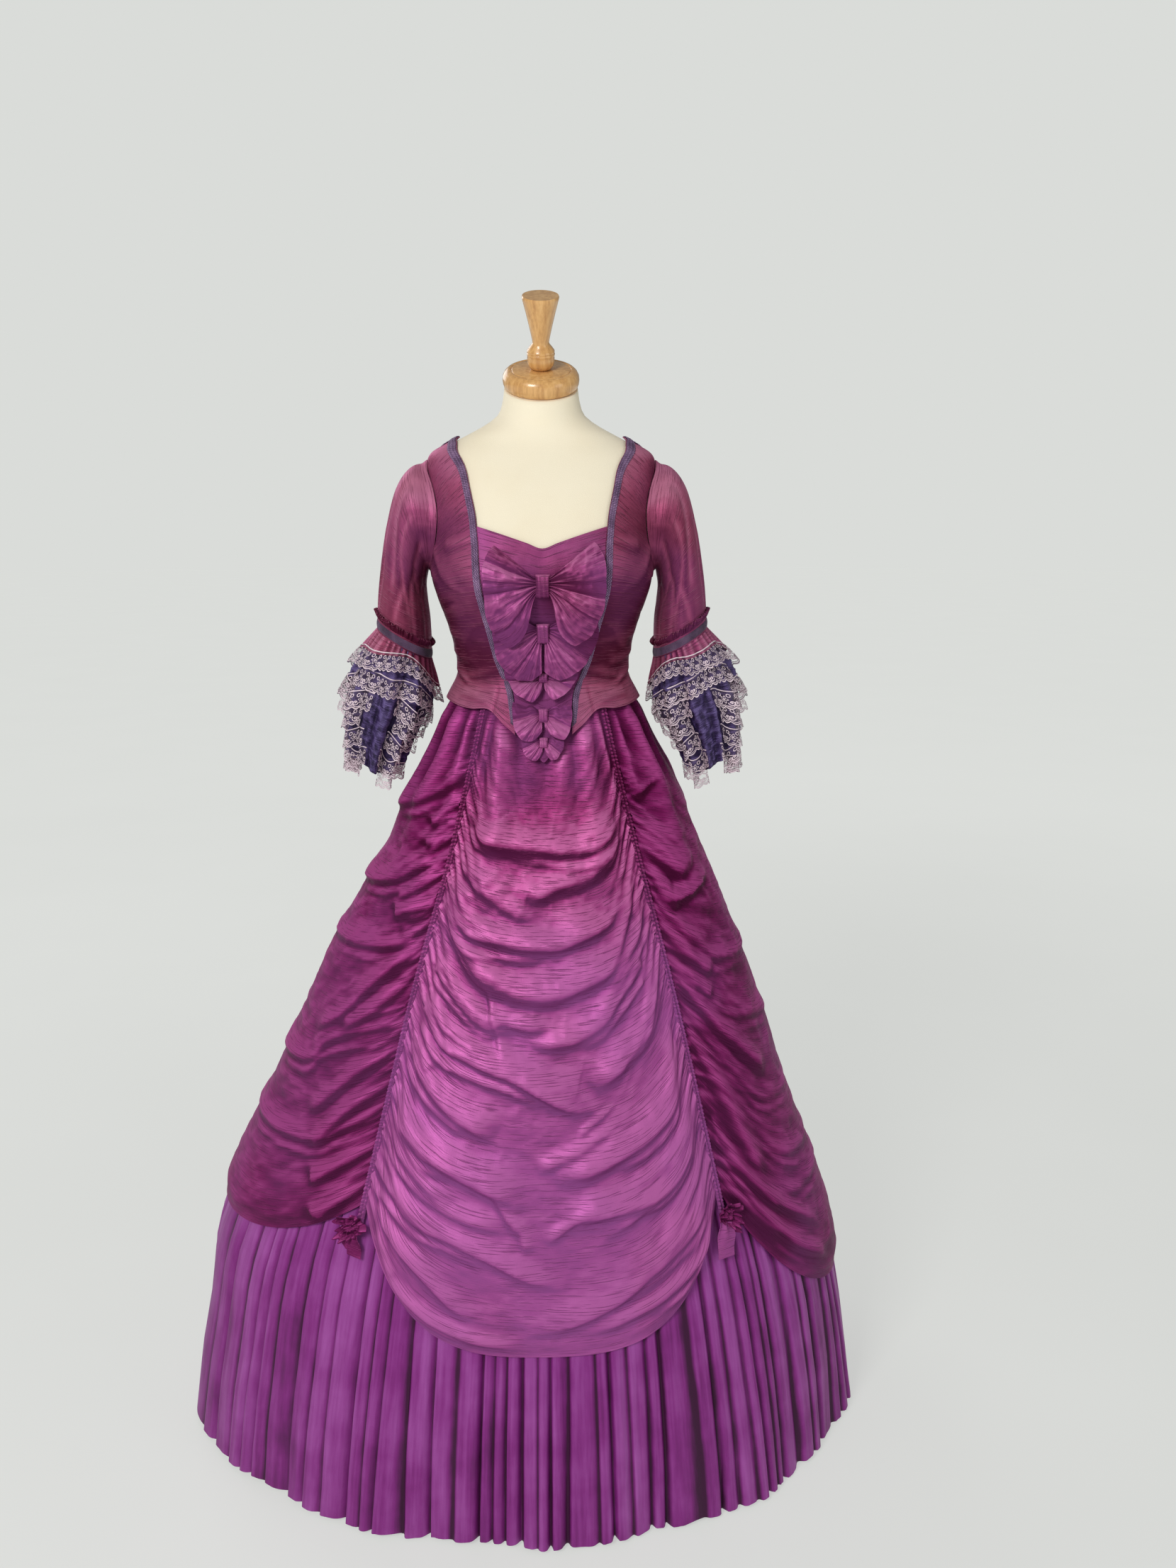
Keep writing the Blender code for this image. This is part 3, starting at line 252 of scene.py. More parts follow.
# part, rise, width above and below in mm, then each point's pixels across and down in that part
FRONT_PICKS = [
    ("whole", 7, 22, 9, 120, 1075, 165, 1140, 215, 1200, 290, 1240, 380, 1285, 470, 1330, 560,
     1345),
    ("whole", 7, 18, 9, 128, 1180, 185, 1260, 250, 1335, 330, 1420),
    ("whole", 6, 14, 8, 122, 1240, 165, 1340, 245, 1415, 340, 1460, 450, 1482),
    ("whole", 9, 30, 12, 858, 1050, 835, 1150, 790, 1230, 720, 1300, 640, 1370, 540, 1420, 420,
     1450),
    ("whole", 7, 18, 9, 862, 1140, 845, 1230, 795, 1310, 730, 1370, 650, 1415, 560, 1448),
    ("whole", 7, 20, 9, 838, 960, 800, 1050, 745, 1125, 690, 1180, 600, 1250),
    ("whole", 8, 24, 10, 155, 900, 190, 985, 240, 1055, 320, 1090, 400, 1140, 445, 1190),
    ("whole", 5, 14, 7, 640, 990, 560, 1050, 470, 1095),
    ("whole", 5, 12, 7, 640, 1145, 560, 1195, 490, 1250),
    ("whole", 4, 12, 9, 420, 1185, 440, 1225, 452, 1270),
    ("whole", 5, 14, 8, 825, 900, 790, 1000, 730, 1080, 660, 1140),
    ("whole", 5, 16, 8, 140, 1010, 180, 1090, 240, 1150, 330, 1200, 420, 1225),
    ("upper", 5, 22, 7, 375, 590, 430, 690, 500, 728, 560, 735),
    ("upper", 9, 27, 18, 1110, 470, 1085, 620, 990, 735, 880, 772, 720, 765, 560, 742, 450, 700,
     395, 620),
    ("upper", 9, 30, 16, 1120, 620, 1045, 790, 930, 895, 810, 950, 700, 1005, 640, 1060),
    ("upper", 8, 34, 14, 320, 830, 400, 930, 490, 1010, 560, 1062, 640, 1098, 760, 1085),
    ("upper", 13, 34, 15, 275, 940, 325, 1100, 400, 1190, 520, 1222, 640, 1248, 800, 1250, 930,
     1195, 1050, 1115, 1125, 980),
    ("upper", 12, 36, 16, 240, 1060, 330, 1230, 420, 1370, 500, 1435, 640, 1488, 790, 1495, 910,
     1450, 1030, 1380, 1090, 1270, 1135, 1120),
    ("upper", 5, 14, 8, 1195, 920, 1160, 1060, 1120, 1200, 1080, 1330),
    ("upper", 5, 14, 8, 1240, 1060, 1200, 1200, 1110, 1370, 1040, 1480),
    ("lower", 8, 26, 9, 420, 160, 500, 260, 590, 345, 640, 330, 700, 345, 760, 350, 830, 338),
    ("lower", 9, 26, 14, 1090, 150, 1010, 260, 960, 335, 880, 385, 800, 402, 700, 398),
    ("lower", 12, 36, 9, 385, 290, 440, 395, 510, 440, 590, 480, 690, 525, 780, 580, 870, 622,
     970, 618),
    ("lower", 9, 24, 14, 1150, 230, 1110, 360, 1040, 440, 1000, 500, 930, 560),
    ("lower", 9, 26, 12, 330, 430, 400, 540, 470, 620, 540, 680, 620, 720),
    ("lower", 11, 30, 16, 1215, 430, 1190, 600, 1110, 710, 1010, 780, 900, 835, 800, 850),
    ("lower", 11, 30, 11, 270, 560, 330, 680, 420, 770, 520, 850, 610, 900, 700, 960),
    ("lower", 10, 28, 12, 1290, 560, 1250, 740, 1170, 880, 1060, 945, 930, 978, 820, 1000),
    ("lower", 5, 14, 7, 1180, 60, 1150, 200, 1100, 330, 1040, 470),
    ("lower", 5, 12, 7, 1250, 400, 1220, 560, 1150, 700),
    ("lower", 6, 16, 8, 250, 640, 300, 760, 380, 860, 480, 960),
    ("lower", 6, 16, 8, 215, 820, 290, 900, 380, 1000, 440, 1070),
    ("lower", 6, 14, 8, 1330, 640, 1290, 830, 1220, 980, 1170, 1080),
    ("lower", 5, 12, 7, 590, 210, 620, 330, 640, 420, 660, 470),
    ("lower", 5, 14, 8, 600, 900, 650, 970, 700, 1050),
]
RIGHT_PICKS = [
    ("upper", 10, 30, 12, 430, 200, 385, 330, 290, 430, 190, 500, 120, 520),
    ("upper", 7, 18, 8, 355, 480, 270, 590, 180, 660),
    ("upper", 7, 18, 8, 330, 620, 240, 700, 160, 780),
    ("upper", 10, 26, 9, 295, 760, 200, 830, 100, 875, 0, 920),
    ("upper", 7, 18, 8, 250, 870, 130, 960, 10, 1025),
    ("upper", 9, 24, 8, 215, 980, 150, 1060, 60, 1085, 0, 1110),
    ("upper", 7, 18, 8, 180, 1110, 80, 1200, 0, 1255),
    ("lower", 8, 22, 9, 350, 90, 240, 180, 110, 310, 20, 350),
    ("lower", 7, 18, 8, 315, 200, 220, 290, 110, 360),
    ("lower", 9, 24, 9, 280, 350, 150, 365, 60, 400, 0, 450),
    ("lower", 8, 20, 9, 240, 450, 130, 530, 0, 640),
    ("lower", 8, 20, 9, 230, 560, 120, 640, 0, 760),
    ("lower", 7, 18, 8, 215, 640, 110, 690, 0, 720),
    ("lower", 7, 18, 8, 190, 760, 70, 830, 0, 870),
    ("lower", 7, 18, 8, 165, 880, 70, 950, 0, 1000),
]
LEFT_PICKS = [
    ("whole", 7, 16, 8, 808, 800, 860, 900, 930, 990, 1010, 1050),
    ("whole", 7, 16, 8, 860, 990, 910, 1090, 990, 1160, 1080, 1200),
    ("whole", 8, 18, 8, 880, 1080, 950, 1180, 1030, 1250, 1100, 1275),
    ("whole", 7, 18, 8, 768, 690, 830, 790, 900, 880, 960, 930),
    ("whole", 6, 14, 7, 705, 440, 745, 520, 800, 590, 870, 640),
    ("upper", 11, 26, 14, 1050, 120, 1110, 290, 1150, 400, 1190, 480, 1230, 520),
    ("upper", 8, 26, 12, 1100, 100, 1160, 200, 1290, 380, 1400, 520),
    ("upper", 12, 34, 12, 1125, 470, 1190, 660, 1270, 780, 1360, 860, 1440, 930),
    ("upper", 9, 24, 10, 1190, 760, 1280, 880, 1350, 1015, 1420, 995, 1480, 940, 1540, 850),
    ("upper", 9, 22, 10, 1260, 950, 1390, 1120, 1480, 1220, 1568, 1310),
    ("upper", 8, 20, 10, 1310, 1090, 1440, 1290, 1568, 1410),
    ("upper", 7, 18, 9, 1370, 1350, 1490, 1450, 1568, 1510),
    ("lower", 8, 20, 10, 1190, 40, 1290, 180, 1370, 300, 1480, 290),
    ("lower", 9, 22, 10, 1225, 180, 1330, 330, 1430, 430, 1510, 500),
    ("lower", 9, 20, 11, 1275, 380, 1360, 560, 1430, 720, 1500, 870),
    ("lower", 8, 18, 10, 1330, 560, 1420, 720, 1568, 900),
    ("lower", 8, 18, 10, 1365, 740, 1450, 860, 1568, 970),
    ("lower", 7, 16, 9, 1370, 850, 1460, 960, 1568, 1060),
]
# angle from the panel's middle at the waist, drift and length downwards, width and rise in mm
WAIST_GATHERS = [
    (-41, -1, 0.17, 13, 9), (-27, 3, 0.31, 18, 14), (-9, 1, 0.14, 15, 5), (12.5, -3, 0.23, 15, 9),
    (27, -3, 0.3, 17, 13), (40, -1, 0.19, 13, 9.5),
]

# The lower edge of the bodice all round, angles and heights
BASQUE_HEM = (0.0, 18.5, 36.0, 90.0), (1.000, 1.040, 1.068, 1.080)
# How the overskirt's panels sag between their seams, and how far they stop short of them
SAG_POWER = 1.3
PANEL_EDGE = 0.0040

# The ruched strips over the seams, the ties at their feet and the petticoat's flounce
SEAMS = {"left_front": FRONT_SEAM, "right_front": -FRONT_SEAM, "left_back": BACK_SEAM,
         "right_back": -BACK_SEAM}
TAPE_END = 0.402
TAPE_HALF = 0.0046
TAPE_FULLNESS = 1.18
FLOUNCE_PANELS = 6
PLEAT_COLUMNS = 14
TIE_HEIGHT = 0.402
TIE_REACH = 0.0290
TIE_OUT = 0.0112
# shift across, width, length, twist, finish: the ribbon ends under the left and the right rosette
TAILS = {
    "left": [(-0.010, 0.027, 0.046, 0.4, "magenta_silk"), (0.014, 0.014, 0.020, 2.0, "wine_silk")],
    "right": [(0.004, 0.019, 0.030, 1.1, "wine_silk"), (-0.013, 0.012, 0.018, 2.6, "wine_silk")],
}


# Cloth on surfaces


def smooth_rows(rows, heights):
    """The columns of a table at any heights, on smooth curves through its rows."""
    at, values = rows[:, 0], rows[:, 1:]
    slopes = np.empty_like(values)
    slopes[1:-1] = (values[2:] - values[:-2]) / (at[2:] - at[:-2])[:, None]
    slopes[0] = (values[1] - values[0]) / (at[1] - at[0])
    slopes[-1] = (values[-1] - values[-2]) / (at[-1] - at[-2])
    heights = np.clip(heights, at[0], at[-1])
    low = np.clip(np.searchsorted(at, heights, side="right") - 1, 0, len(at) - 2)
    span = (at[low + 1] - at[low])[:, None]
    t = ((heights - at[low])[:, None]) / span
    return (values[low] * (1 + 2 * t) * (1 - t) ** 2 + slopes[low] * span * t * (1 - t) ** 2
            + values[low + 1] * t * t * (3 - 2 * t) - slopes[low + 1] * span * t * t * (1 - t))


def mix(a, b, t):
    return a + (b - a) * t


def ramp(value, start, end):
    """0 at the start, 1 at the end, eased between them and flat beyond."""
    t = np.clip((value - start) / (end - start), 0.0, 1.0)
    return t * t * (3.0 - 2.0 * t)


def fade(value, start, end):
    """1 at the start, 0 at the end."""
    return 1.0 - ramp(value, start, end)


def bell(value, width):
    return np.exp(-((value / width) ** 2))


def wave(degrees, shift=0.0):
    return np.sin(np.radians(degrees) + shift)


def ring_radius(angle, side, depth, square):
    across, along = np.abs(wave(angle)) / side, np.abs(np.cos(np.radians(angle))) / depth
    return (across**square + along**square) ** (-1.0 / square)


def around(angle, radius, height):
    turn = np.radians(angle)
    return np.stack([radius * np.sin(turn), -radius * np.cos(turn), height], axis=-1)


def front_or_back(angle, front, back):
    return np.where(np.cos(np.radians(angle)) > 0, front, back)


def form_point(angle, height, out=0.0):
    side, front, back, square = smooth_rows(FORM, height).T
    bust = BUST_RISE * bell(height - BUST_HEIGHT, BUST_SPREAD_HEIGHT)
    bust = bust * bell(np.abs(angle) - BUST_ANGLE, BUST_SPREAD_ANGLE)
    radius = ring_radius(angle, side, front_or_back(angle, front, back), square) + bust + out
    place = around(angle, radius, height)
    lean = np.clip((height - NECK_TILT_START) / (NECK_TOP - NECK_TILT_START), 0.0, 1.0)
    place[:, 2] += math.tan(NECK_TILT) * place[:, 1] * lean
    return place


def body_point(angle, height):
    """The surface that the bodice lies on: the form above the waist, the skirts below it."""
    side, front, back = smooth_rows(BASQUE, height).T
    below = around(angle, ring_radius(angle, side, front_or_back(angle, front, back), 2.2), height)
    return np.where((height >= WAIST)[:, None], form_point(angle, height), below)


def over_body(angle, height, out):
    """Points that far off the body's surface, square to it."""
    angle, height = np.broadcast_arrays(np.asarray(angle, float), np.asarray(height, float))
    across = body_point(angle + 0.5, height) - body_point(angle - 0.5, height)
    up = body_point(angle, height + 0.003) - body_point(angle, height - 0.003)
    square = np.cross(across, up)
    square /= np.linalg.norm(square, axis=1)[:, None]
    return body_point(angle, height) + square * np.reshape(out, (-1, 1))


def body_radius(height):
    """The body's radius at the front."""
    return np.hypot(*body_point(np.zeros_like(height), height)[:, :2].T)


def skirt_radius(angle, height):
    right, left, front, back = smooth_rows(SKIRT, height).T
    square = mix(2.0, 2.2, np.clip((height - 0.95) / 0.12, 0.0, 1.0))
    side = np.where(wave(angle) > 0, left, right)
    return ring_radius(angle, side, front_or_back(angle, front, back), square)


def under_pixel(part, across, down):
    """The angle and height at which the skirt shows at a point picked on the photograph."""
    left, top, size = ENLARGED[part]
    tilt, turn = math.radians(CAMERA_DOWN), math.radians(CAMERA_ASIDE)
    forward = np.array([math.sin(turn) * math.cos(tilt), math.cos(turn) * math.cos(tilt),
                        -math.sin(tilt)])
    right = np.array([math.cos(turn), -math.sin(turn), 0.0])
    ray = forward * FOCAL + right * (left + size * across - IMAGE_WIDTH / 2)
    ray -= np.cross(right, forward) * (top + size * down - IMAGE_HEIGHT / 2)
    steps = np.arange(1.0, 2.6, 0.004)[:, None]
    x, y, height = (CAMERA + ray / np.linalg.norm(ray) * steps).T
    gap = np.hypot(x, y) - skirt_radius(np.degrees(np.arctan2(x, -y)), height) - PICKED_OUT
    usable = (height > 0.0) & (height < PETTICOAT_TOP)
    before = np.flatnonzero((gap[:-1] > 0.0) & (gap[1:] <= 0.0) & usable[:-1] & usable[1:])[0]
    share = gap[before] / (gap[before] - gap[before + 1])
    x, y, height = (mix(values[before], values[before + 1], share) for values in (x, y, height))
    return round(math.degrees(math.atan2(x, -y)), 1), round(float(height), 3)


def picked_folds(picks):
    return [(rise, above, below, [under_pixel(part, *point) for point in zip(path[::2], path[1::2])])
            for part, rise, above, below, *path in picks]


def beside_seam(seam, across, height, out):
    """Points on the skirt that far beside a seam and off the surface."""
    angle = seam + np.degrees(across / skirt_radius(np.full_like(height, seam), height))
    return around(angle, skirt_radius(angle, height) + out, height)


def spread(coarse, u, v, wrap=False):
    """Smooth values between the rows (v) and columns (u) of a coarse grid."""
    coarse = np.asarray(coarse, float)
    rows, columns = coarse.shape[:2]
    spans = columns if wrap else columns - 1
    along, up = np.clip(u, 0, 1) * spans, np.clip(v, 0, 1) * (rows - 1)
    column, row = np.minimum(along.astype(int), spans - 1), np.minimum(up.astype(int), rows - 2)

    def weights(t):
        return (-0.5 * t + t**2 - 0.5 * t**3, 1 - 2.5 * t**2 + 1.5 * t**3,
                0.5 * t + 2 * t**2 - 1.5 * t**3, -0.5 * t**2 + 0.5 * t**3)

    total = 0.0
    for a, up_weight in enumerate(weights(up - row)):
        for b, along_weight in enumerate(weights(along - column)):
            at_column = column + b - 1
            at_column = at_column % columns if wrap else np.clip(at_column, 0, columns - 1)
            at_row = np.clip(row + a - 1, 0, rows - 1)
            total = total + (up_weight * along_weight)[:, None] * coarse[at_row, at_column]
    return total


def noise_at(x, y, seed, octaves=3):
    """Even noise between about -1 and 1 over two coordinates."""
    return np.array([noise.fractal(Vector((a, b, seed)), 0.9, 2.1, octaves) for a, b in zip(x, y)])


def in_rows(u, v):
    """The order that sorts a grid's points into rows, and the number of its columns."""
    u = np.round(u, 6)
    return np.lexsort((u, np.round(v, 6))), len(np.unique(u))


def add_object(name, mesh, finish, data=None):
    """A bmesh as an object of the scene."""
    data = data or bpy.data.meshes.new(name)
    mesh.to_mesh(data)
    mesh.free()
    data.materials.append(finish)
    made = bpy.data.objects.new(name, data)
    bpy.context.scene.collection.objects.link(made)
    return made


def stand_for(made, replaced):
    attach(made, "root")
    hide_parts(replaced)


def cloth(name, columns, rows, place, slot, replaced, held, rests_on, side=1.0, finish=None,
          wrap=False, flip=False, thickness=0.0010, pattern=None):
    """A thin shell: a flat grid whose every point, across (u) and up (v), is placed on the body and
    for side -1 mirrored. The placing also gives each point a tone, lighter or darker, that is
    mostly painted light and painted shade."""
    mesh = bmesh.new()
    mesh.loops.layers.uv.new("UVMap")
    bmesh.ops.create_grid(mesh, x_segments=columns, y_segments=rows, size=0.5, calc_uvs=True)
    data = bpy.data.meshes.new(name)
    mesh.to_mesh(data)
    mesh.free()
    flat = np.empty(3 * len(data.vertices))
    data.vertices.foreach_get("co", flat)
    flat = flat.reshape(-1, 3)
    u, v = flat[:, 0] + 0.5, flat[:, 1] + 0.5
    points, tone = place(u, v)
    points[:, 0] *= side
    data.vertices.foreach_set("co", points.ravel())
    data.attributes.new("tone", "FLOAT", "POINT").data.foreach_set("value", tone)
    grid = points[in_rows(u, v)[0]].reshape(rows + 1, columns + 1, 3)
    width = float(np.linalg.norm(np.diff(grid, axis=1), axis=2).sum(axis=1).mean())
    length = float(np.linalg.norm(np.diff(grid, axis=0), axis=2).sum(axis=0).mean())
    uv = np.empty(2 * len(data.loops))
    data.uv_layers[0].data.foreach_get("uv", uv)
    uv = uv.reshape(-1, 2) * (pattern or (width, length))
    data.uv_layers[0].data.foreach_set("uv", uv.ravel())
    mesh = bmesh.new()
    mesh.from_mesh(data)
    if wrap:
        bmesh.ops.remove_doubles(mesh, verts=mesh.verts[:], dist=0.000002)
    if flip != (side < 0):
        bmesh.ops.reverse_faces(mesh, faces=mesh.faces[:])
    for face in mesh.faces:
        face.smooth = True
    for edge in mesh.edges:
        edge.smooth = not edge.is_boundary
    area = sum(face.calc_area() for face in mesh.faces)
    made = add_object(name, mesh, look(finish or slot), data)
    shell = made.modifiers.new("Thickness", "SOLIDIFY")
    shell.thickness = thickness
    shell.offset = -1.0
    stand_for(made, replaced)


# Finishes


class Wire:
    """A node's output. Arithmetic with it adds the nodes that do it."""

    def __init__(self, finish, socket):
        self.finish, self.socket = finish, socket

    def maths(self, operation, *values):
        return self.finish.add("Math", self, *values, operation=operation)

    def remap(self, low, high, out_low=0.0, out_high=1.0):
        return self.finish.add("MapRange", self, low, high, out_low, out_high,
                               interpolation_type="SMOOTHSTEP")

    def __add__(self, value):
        return self.maths("ADD", value)

    def __sub__(self, value):
        return self.maths("SUBTRACT", value)

    def __mul__(self, value):
        return self.maths("MULTIPLY", value)

    def __abs__(self):
        return self.maths("ABSOLUTE")

    def sine(self, repeat):
        return (self * (math.tau / repeat)).maths("SINE")


class Finish:
    """A new material and what adds nodes to it."""

    def __init__(self, name):
        self.material = bpy.data.materials.new(name)
        self.material.use_nodes = True
        self.tree = self.material.node_tree
        self.place = self.add("TexCoord", out="Object")

    def feed(self, socket, value):
        """Link a wire to a socket, or set a constant on it."""
        if isinstance(value, Wire):
            self.tree.links.new(value.socket, socket)
        else:
            socket.default_value = (*value, 1.0) if socket.type == "RGBA" else value

    def add(self, kind, *values, out=0, **named):
        """The output of a new node. Values fill its first inputs, names with a capital are further
        inputs, and the other names are settings."""
        made = self.tree.nodes.new("ShaderNode" + kind)
        for key, value in named.items():
            if key.islower():
                setattr(made, key, value)
        inputs = [item for item in named.items() if not item[0].islower()]
        for key, value in (*enumerate(values), *inputs):
            self.feed(made.inputs[key], value)
        return Wire(self, made.outputs[out])

    def uv(self):
        return self.add("UVMap", uv_map="UVMap")

    def tone(self):
        return self.add("Attribute", attribute_name="tone", out="Fac")

    def axis(self, vector, number):
        return self.add("SeparateXYZ", vector, out=number)

    def noise(self, source, scale, detail=2.0, roughness=0.5):
        return self.add("TexNoise", Vector=source, Scale=scale, Detail=detail, Roughness=roughness)

    def stretched(self, source, scale, detail=3.0, roughness=0.6):
        """Noise over coordinates that are scaled by different amounts each way."""
        return self.noise(self.add("Mapping", Vector=source, Scale=scale), 1.0, detail, roughness)

    def blend(self, factor, first, second):
        made = self.tree.nodes.new("ShaderNodeMix")
        made.data_type = "RGBA"
        for index, value in (0, factor), (6, first), (7, second):
            self.feed(made.inputs[index], value)
        return Wire(self, made.outputs[2])

    def colours(self, factor, *stops):
        """One of three colours, or what lies between two of them."""
        made = self.tree.nodes.new("ShaderNodeValToRGB")
        self.feed(made.inputs[0], factor)
        elements = made.color_ramp.elements
        elements.new(0.5)
        for element, (position, colour) in zip(elements, stops):
            element.position = position
            element.color = (*colour, 1.0)
        return Wire(self, made.outputs[0])

    def relief(self, height, distance, strength=1.0):
        """Bump from a height; its normal also goes to the shader."""
        bump = self.add("Bump", Height=height, Distance=distance, Strength=strength)
        self.shader(Normal=bump)
        return bump

    def shader(self, **sockets):
        """The material, with constants or wires on its shader's sockets."""
        for key, value in sockets.items():
            self.feed(self.tree.nodes["Principled BSDF"].inputs[key.replace("_", " ")], value)
        return self.material


def shot_silk(name, shade, body, light, cast, crumple, low_cast=0.0, cast_share=0.6):
    """Silk woven of two colours: slubbed along the weft, with painted shade where it turns
    down and painted light where it turns up, with a colder cast in patches and low down."""
    finish = Finish(name)
    uv = finish.uv()
    weft = finish.stretched(uv, (26.0, 620.0, 1.0), 4.0, 0.7)
    slub = finish.stretched(uv, (20.0, 640.0, 3.0), 2.0).remap(0.55, 0.70)
    patch = finish.noise(finish.place, 11.0, 4.0)
    creases = finish.noise(finish.place, 48.0, 5.0, 0.62)
    warp = finish.stretched(uv, (900.0, 60.0, 1.0), 2.0)
    bump = finish.relief(weft * 0.22 + slub * 0.5 + creases * (crumple * 3.0) + warp * 0.1, 0.0011)
    # Painted light where the surface faces up and painted shade where it faces down, with the tone's
    # painted shade and light; weft and patches are the silk's own tone
    lit = finish.axis(bump, 2).remap(-0.25, 0.85) + weft * 0.34 + patch * 0.9 - 0.62 + finish.tone()
    colour = finish.colours(lit, (0.0, shade), (0.52, body), (1.0, light))
    colder = finish.noise(finish.place, 4.6).remap(0.46, 0.64)
    if low_cast:
        low = finish.axis(finish.place, 2).remap(1.00, 0.50, 0.0, low_cast)
        colder = finish.add("Clamp", colder * 0.35 + low)
    colour = finish.blend(colder * cast_share, colour, cast)
    return finish.shader(
        Base_Color=finish.blend(slub * 0.24, colour, shade), Metallic=0.27,
        Roughness=weft.remap(0.2, 0.8, 0.38, 0.52), Sheen_Weight=0.03, Sheen_Roughness=0.4,
        Sheen_Tint=light, Specular_IOR_Level=0.07, Specular_Tint=(0.80, 0.22, 0.60))


def plain_cotton(name, shade, body, light, crinkle=0.0):
    """Matt plain weave, with painted light a little paler where it turns up and painted shade
    where it turns down, with soft vertical streaks.
    """
    finish = Finish(name)
    uv = finish.uv()
    streak = finish.stretched(uv, (90.0, 7.0, 1.0))
    mottle = finish.noise(finish.place, 16.0, 4.0)
    weave = finish.stretched(uv, (900.0, 900.0, 1.0), 2.0)
    folds = finish.stretched(uv, (60.0, 330.0, 1.0), 4.0, 0.65)
    bump = finish.relief(weave * 0.15 + streak * 0.5 + folds * (crinkle * 2.0), 0.0012)
    # Painted light where the surface faces up and painted shade where it faces down, with the tone's
    # painted shade and light; mottle and streaks are the cotton's own tone
    lit = finish.axis(bump, 2).remap(-0.5, 0.8) + mottle * 0.7 + streak * 0.8 - 0.75 + finish.tone()
    return finish.shader(
        Base_Color=finish.colours(lit, (0.0, shade), (0.5, body), (1.0, light)),
        Roughness=0.50 - 0.1 * crinkle, Sheen_Weight=0.03, Sheen_Roughness=0.5, Sheen_Tint=light,
        Specular_IOR_Level=0.22)


def scroll_gimp(name, shade, body, light):
    """Braid of corded scrolls: rounded cords that curl across the band, painted light on their
    tops and painted shade between them.
    """
    finish = Finish(name)
    uv = finish.uv()
    across, along = finish.axis(uv, 0), finish.axis(uv, 1)
    cord = (across + along.sine(SCROLL) * SCROLL_SWAY).sine(CORD)
    finish.relief(cord * 0.6 + (along - across).sine(0.0016) * 0.2, 0.0006)
    # Painted light on the cords' tops, painted shade in the grooves between them
    lit = cord * 0.28 + finish.noise(finish.place, 60.0, 3.0)
    colour = finish.colours(lit, (0.1, shade), (0.5, body), (0.95, light))
    return finish.shader(Base_Color=colour, Roughness=0.7)


def embroidered_net(name, thread, shadow):
    """Lace on net. Each repeat is two scallops wide, with a daisy over one and scrolls beside it;
    a thick double cord follows the scalloped edge, and the net is cut away beyond it."""
    finish = Finish(name)
    uv = finish.uv()
    along, up = finish.axis(uv, 0), finish.axis(uv, 1)
    repeat = 2.0 * SCALLOP
    x = (along.maths("DIVIDE", repeat).maths("FRACT") - 0.5) * repeat
    inside = up + abs(along.sine(repeat)) * 0.0030 - 0.0031

    def stroke(value, middle, width):
        return abs(value - middle).remap(width, width * 0.55)

    def distance(dx, dy):
        return (dx * dx + dy * dy).maths("SQRT")

    dy = up - LACE_DEPTH * 0.52
    r = distance(x, dy)
    petals = r - (dy.maths("ARCTAN2", x) * 5.0).maths("COSINE") * 0.0013
    side = abs(x) - SCALLOP * 0.74
    curl_up = up - LACE_DEPTH * 0.36
    curl = distance(side, curl_up)
    spiral = curl + curl_up.maths("ARCTAN2", side) * 0.00034
    high = distance(side + SCALLOP * 0.16, up - LACE_DEPTH * 0.74)
    threads = reduce(lambda a, b: a.maths("MAXIMUM", b), (
        stroke(petals, 0.0036, 0.0008), stroke(r, 0.0010, 0.0007), stroke(spiral, 0.0026, 0.0008),
        stroke(curl, 0.0006, 0.0007), stroke(high, 0.0021, 0.0007), stroke(inside, 0.0008, 0.0011),
        stroke(inside, 0.0033, 0.0006), stroke(up, LACE_DEPTH - 0.0006, 0.0011)))
    meshes = finish.add("Mapping", Vector=uv, Scale=(820.0, 820.0, 1.0))
    net = finish.add("TexVoronoi", Vector=meshes, Scale=1.0, feature="DISTANCE_TO_EDGE")
    cover = threads.maths("MAXIMUM", net.remap(0.14, 0.04, 0.02, 0.12))
    pale = finish.noise(finish.place, 30.0, 3.0).remap(0.3, 0.6, 0.7, 1.0) * threads
    finish.relief(threads, 0.0006)
    return finish.shader(Base_Color=finish.blend(pale, shadow, thread), Roughness=0.6,
                         Alpha=cover * inside.remap(-0.0004, 0.0))


def cream_linen(name, body, shade):
    finish = Finish(name)
    patch = finish.noise(finish.place, 7.0, 3.0).remap(0.35, 0.75)
    finish.relief(finish.stretched(finish.place, (900.0, 900.0, 1100.0)), 0.0003)
    return finish.shader(Base_Color=finish.blend(patch, body, shade), Roughness=0.75,
                         Sheen_Weight=0.15)


def honey_wood(name, pale, mid, dark):
    """Varnished wood with its grain along the turned pieces' axis."""
    finish = Finish(name)
    upright = finish.add("Mapping", Vector=finish.place, Rotation=(-NECK_TILT, 0.0, 0.0))
    bend = finish.add("TexNoise", Vector=upright, Scale=9.0, Detail=2.0, out="Color")
    bent = finish.add("VectorMath", bend, (0.02, 0.02, 0.02), upright, operation="MULTIPLY_ADD")
    grain = finish.stretched(bent, (150.0, 150.0, 9.0), 4.0, 0.65)
    pores = finish.stretched(bent, (900.0, 900.0, 40.0), 2.0)
    finish.relief(pores + grain * 0.5, 0.0002, 0.5)
    return finish.shader(Base_Color=finish.colours(grain, (0.25, dark), (0.52, mid), (0.78, pale)),
                         Roughness=0.32, Coat_Weight=0.6, Coat_Roughness=0.12)


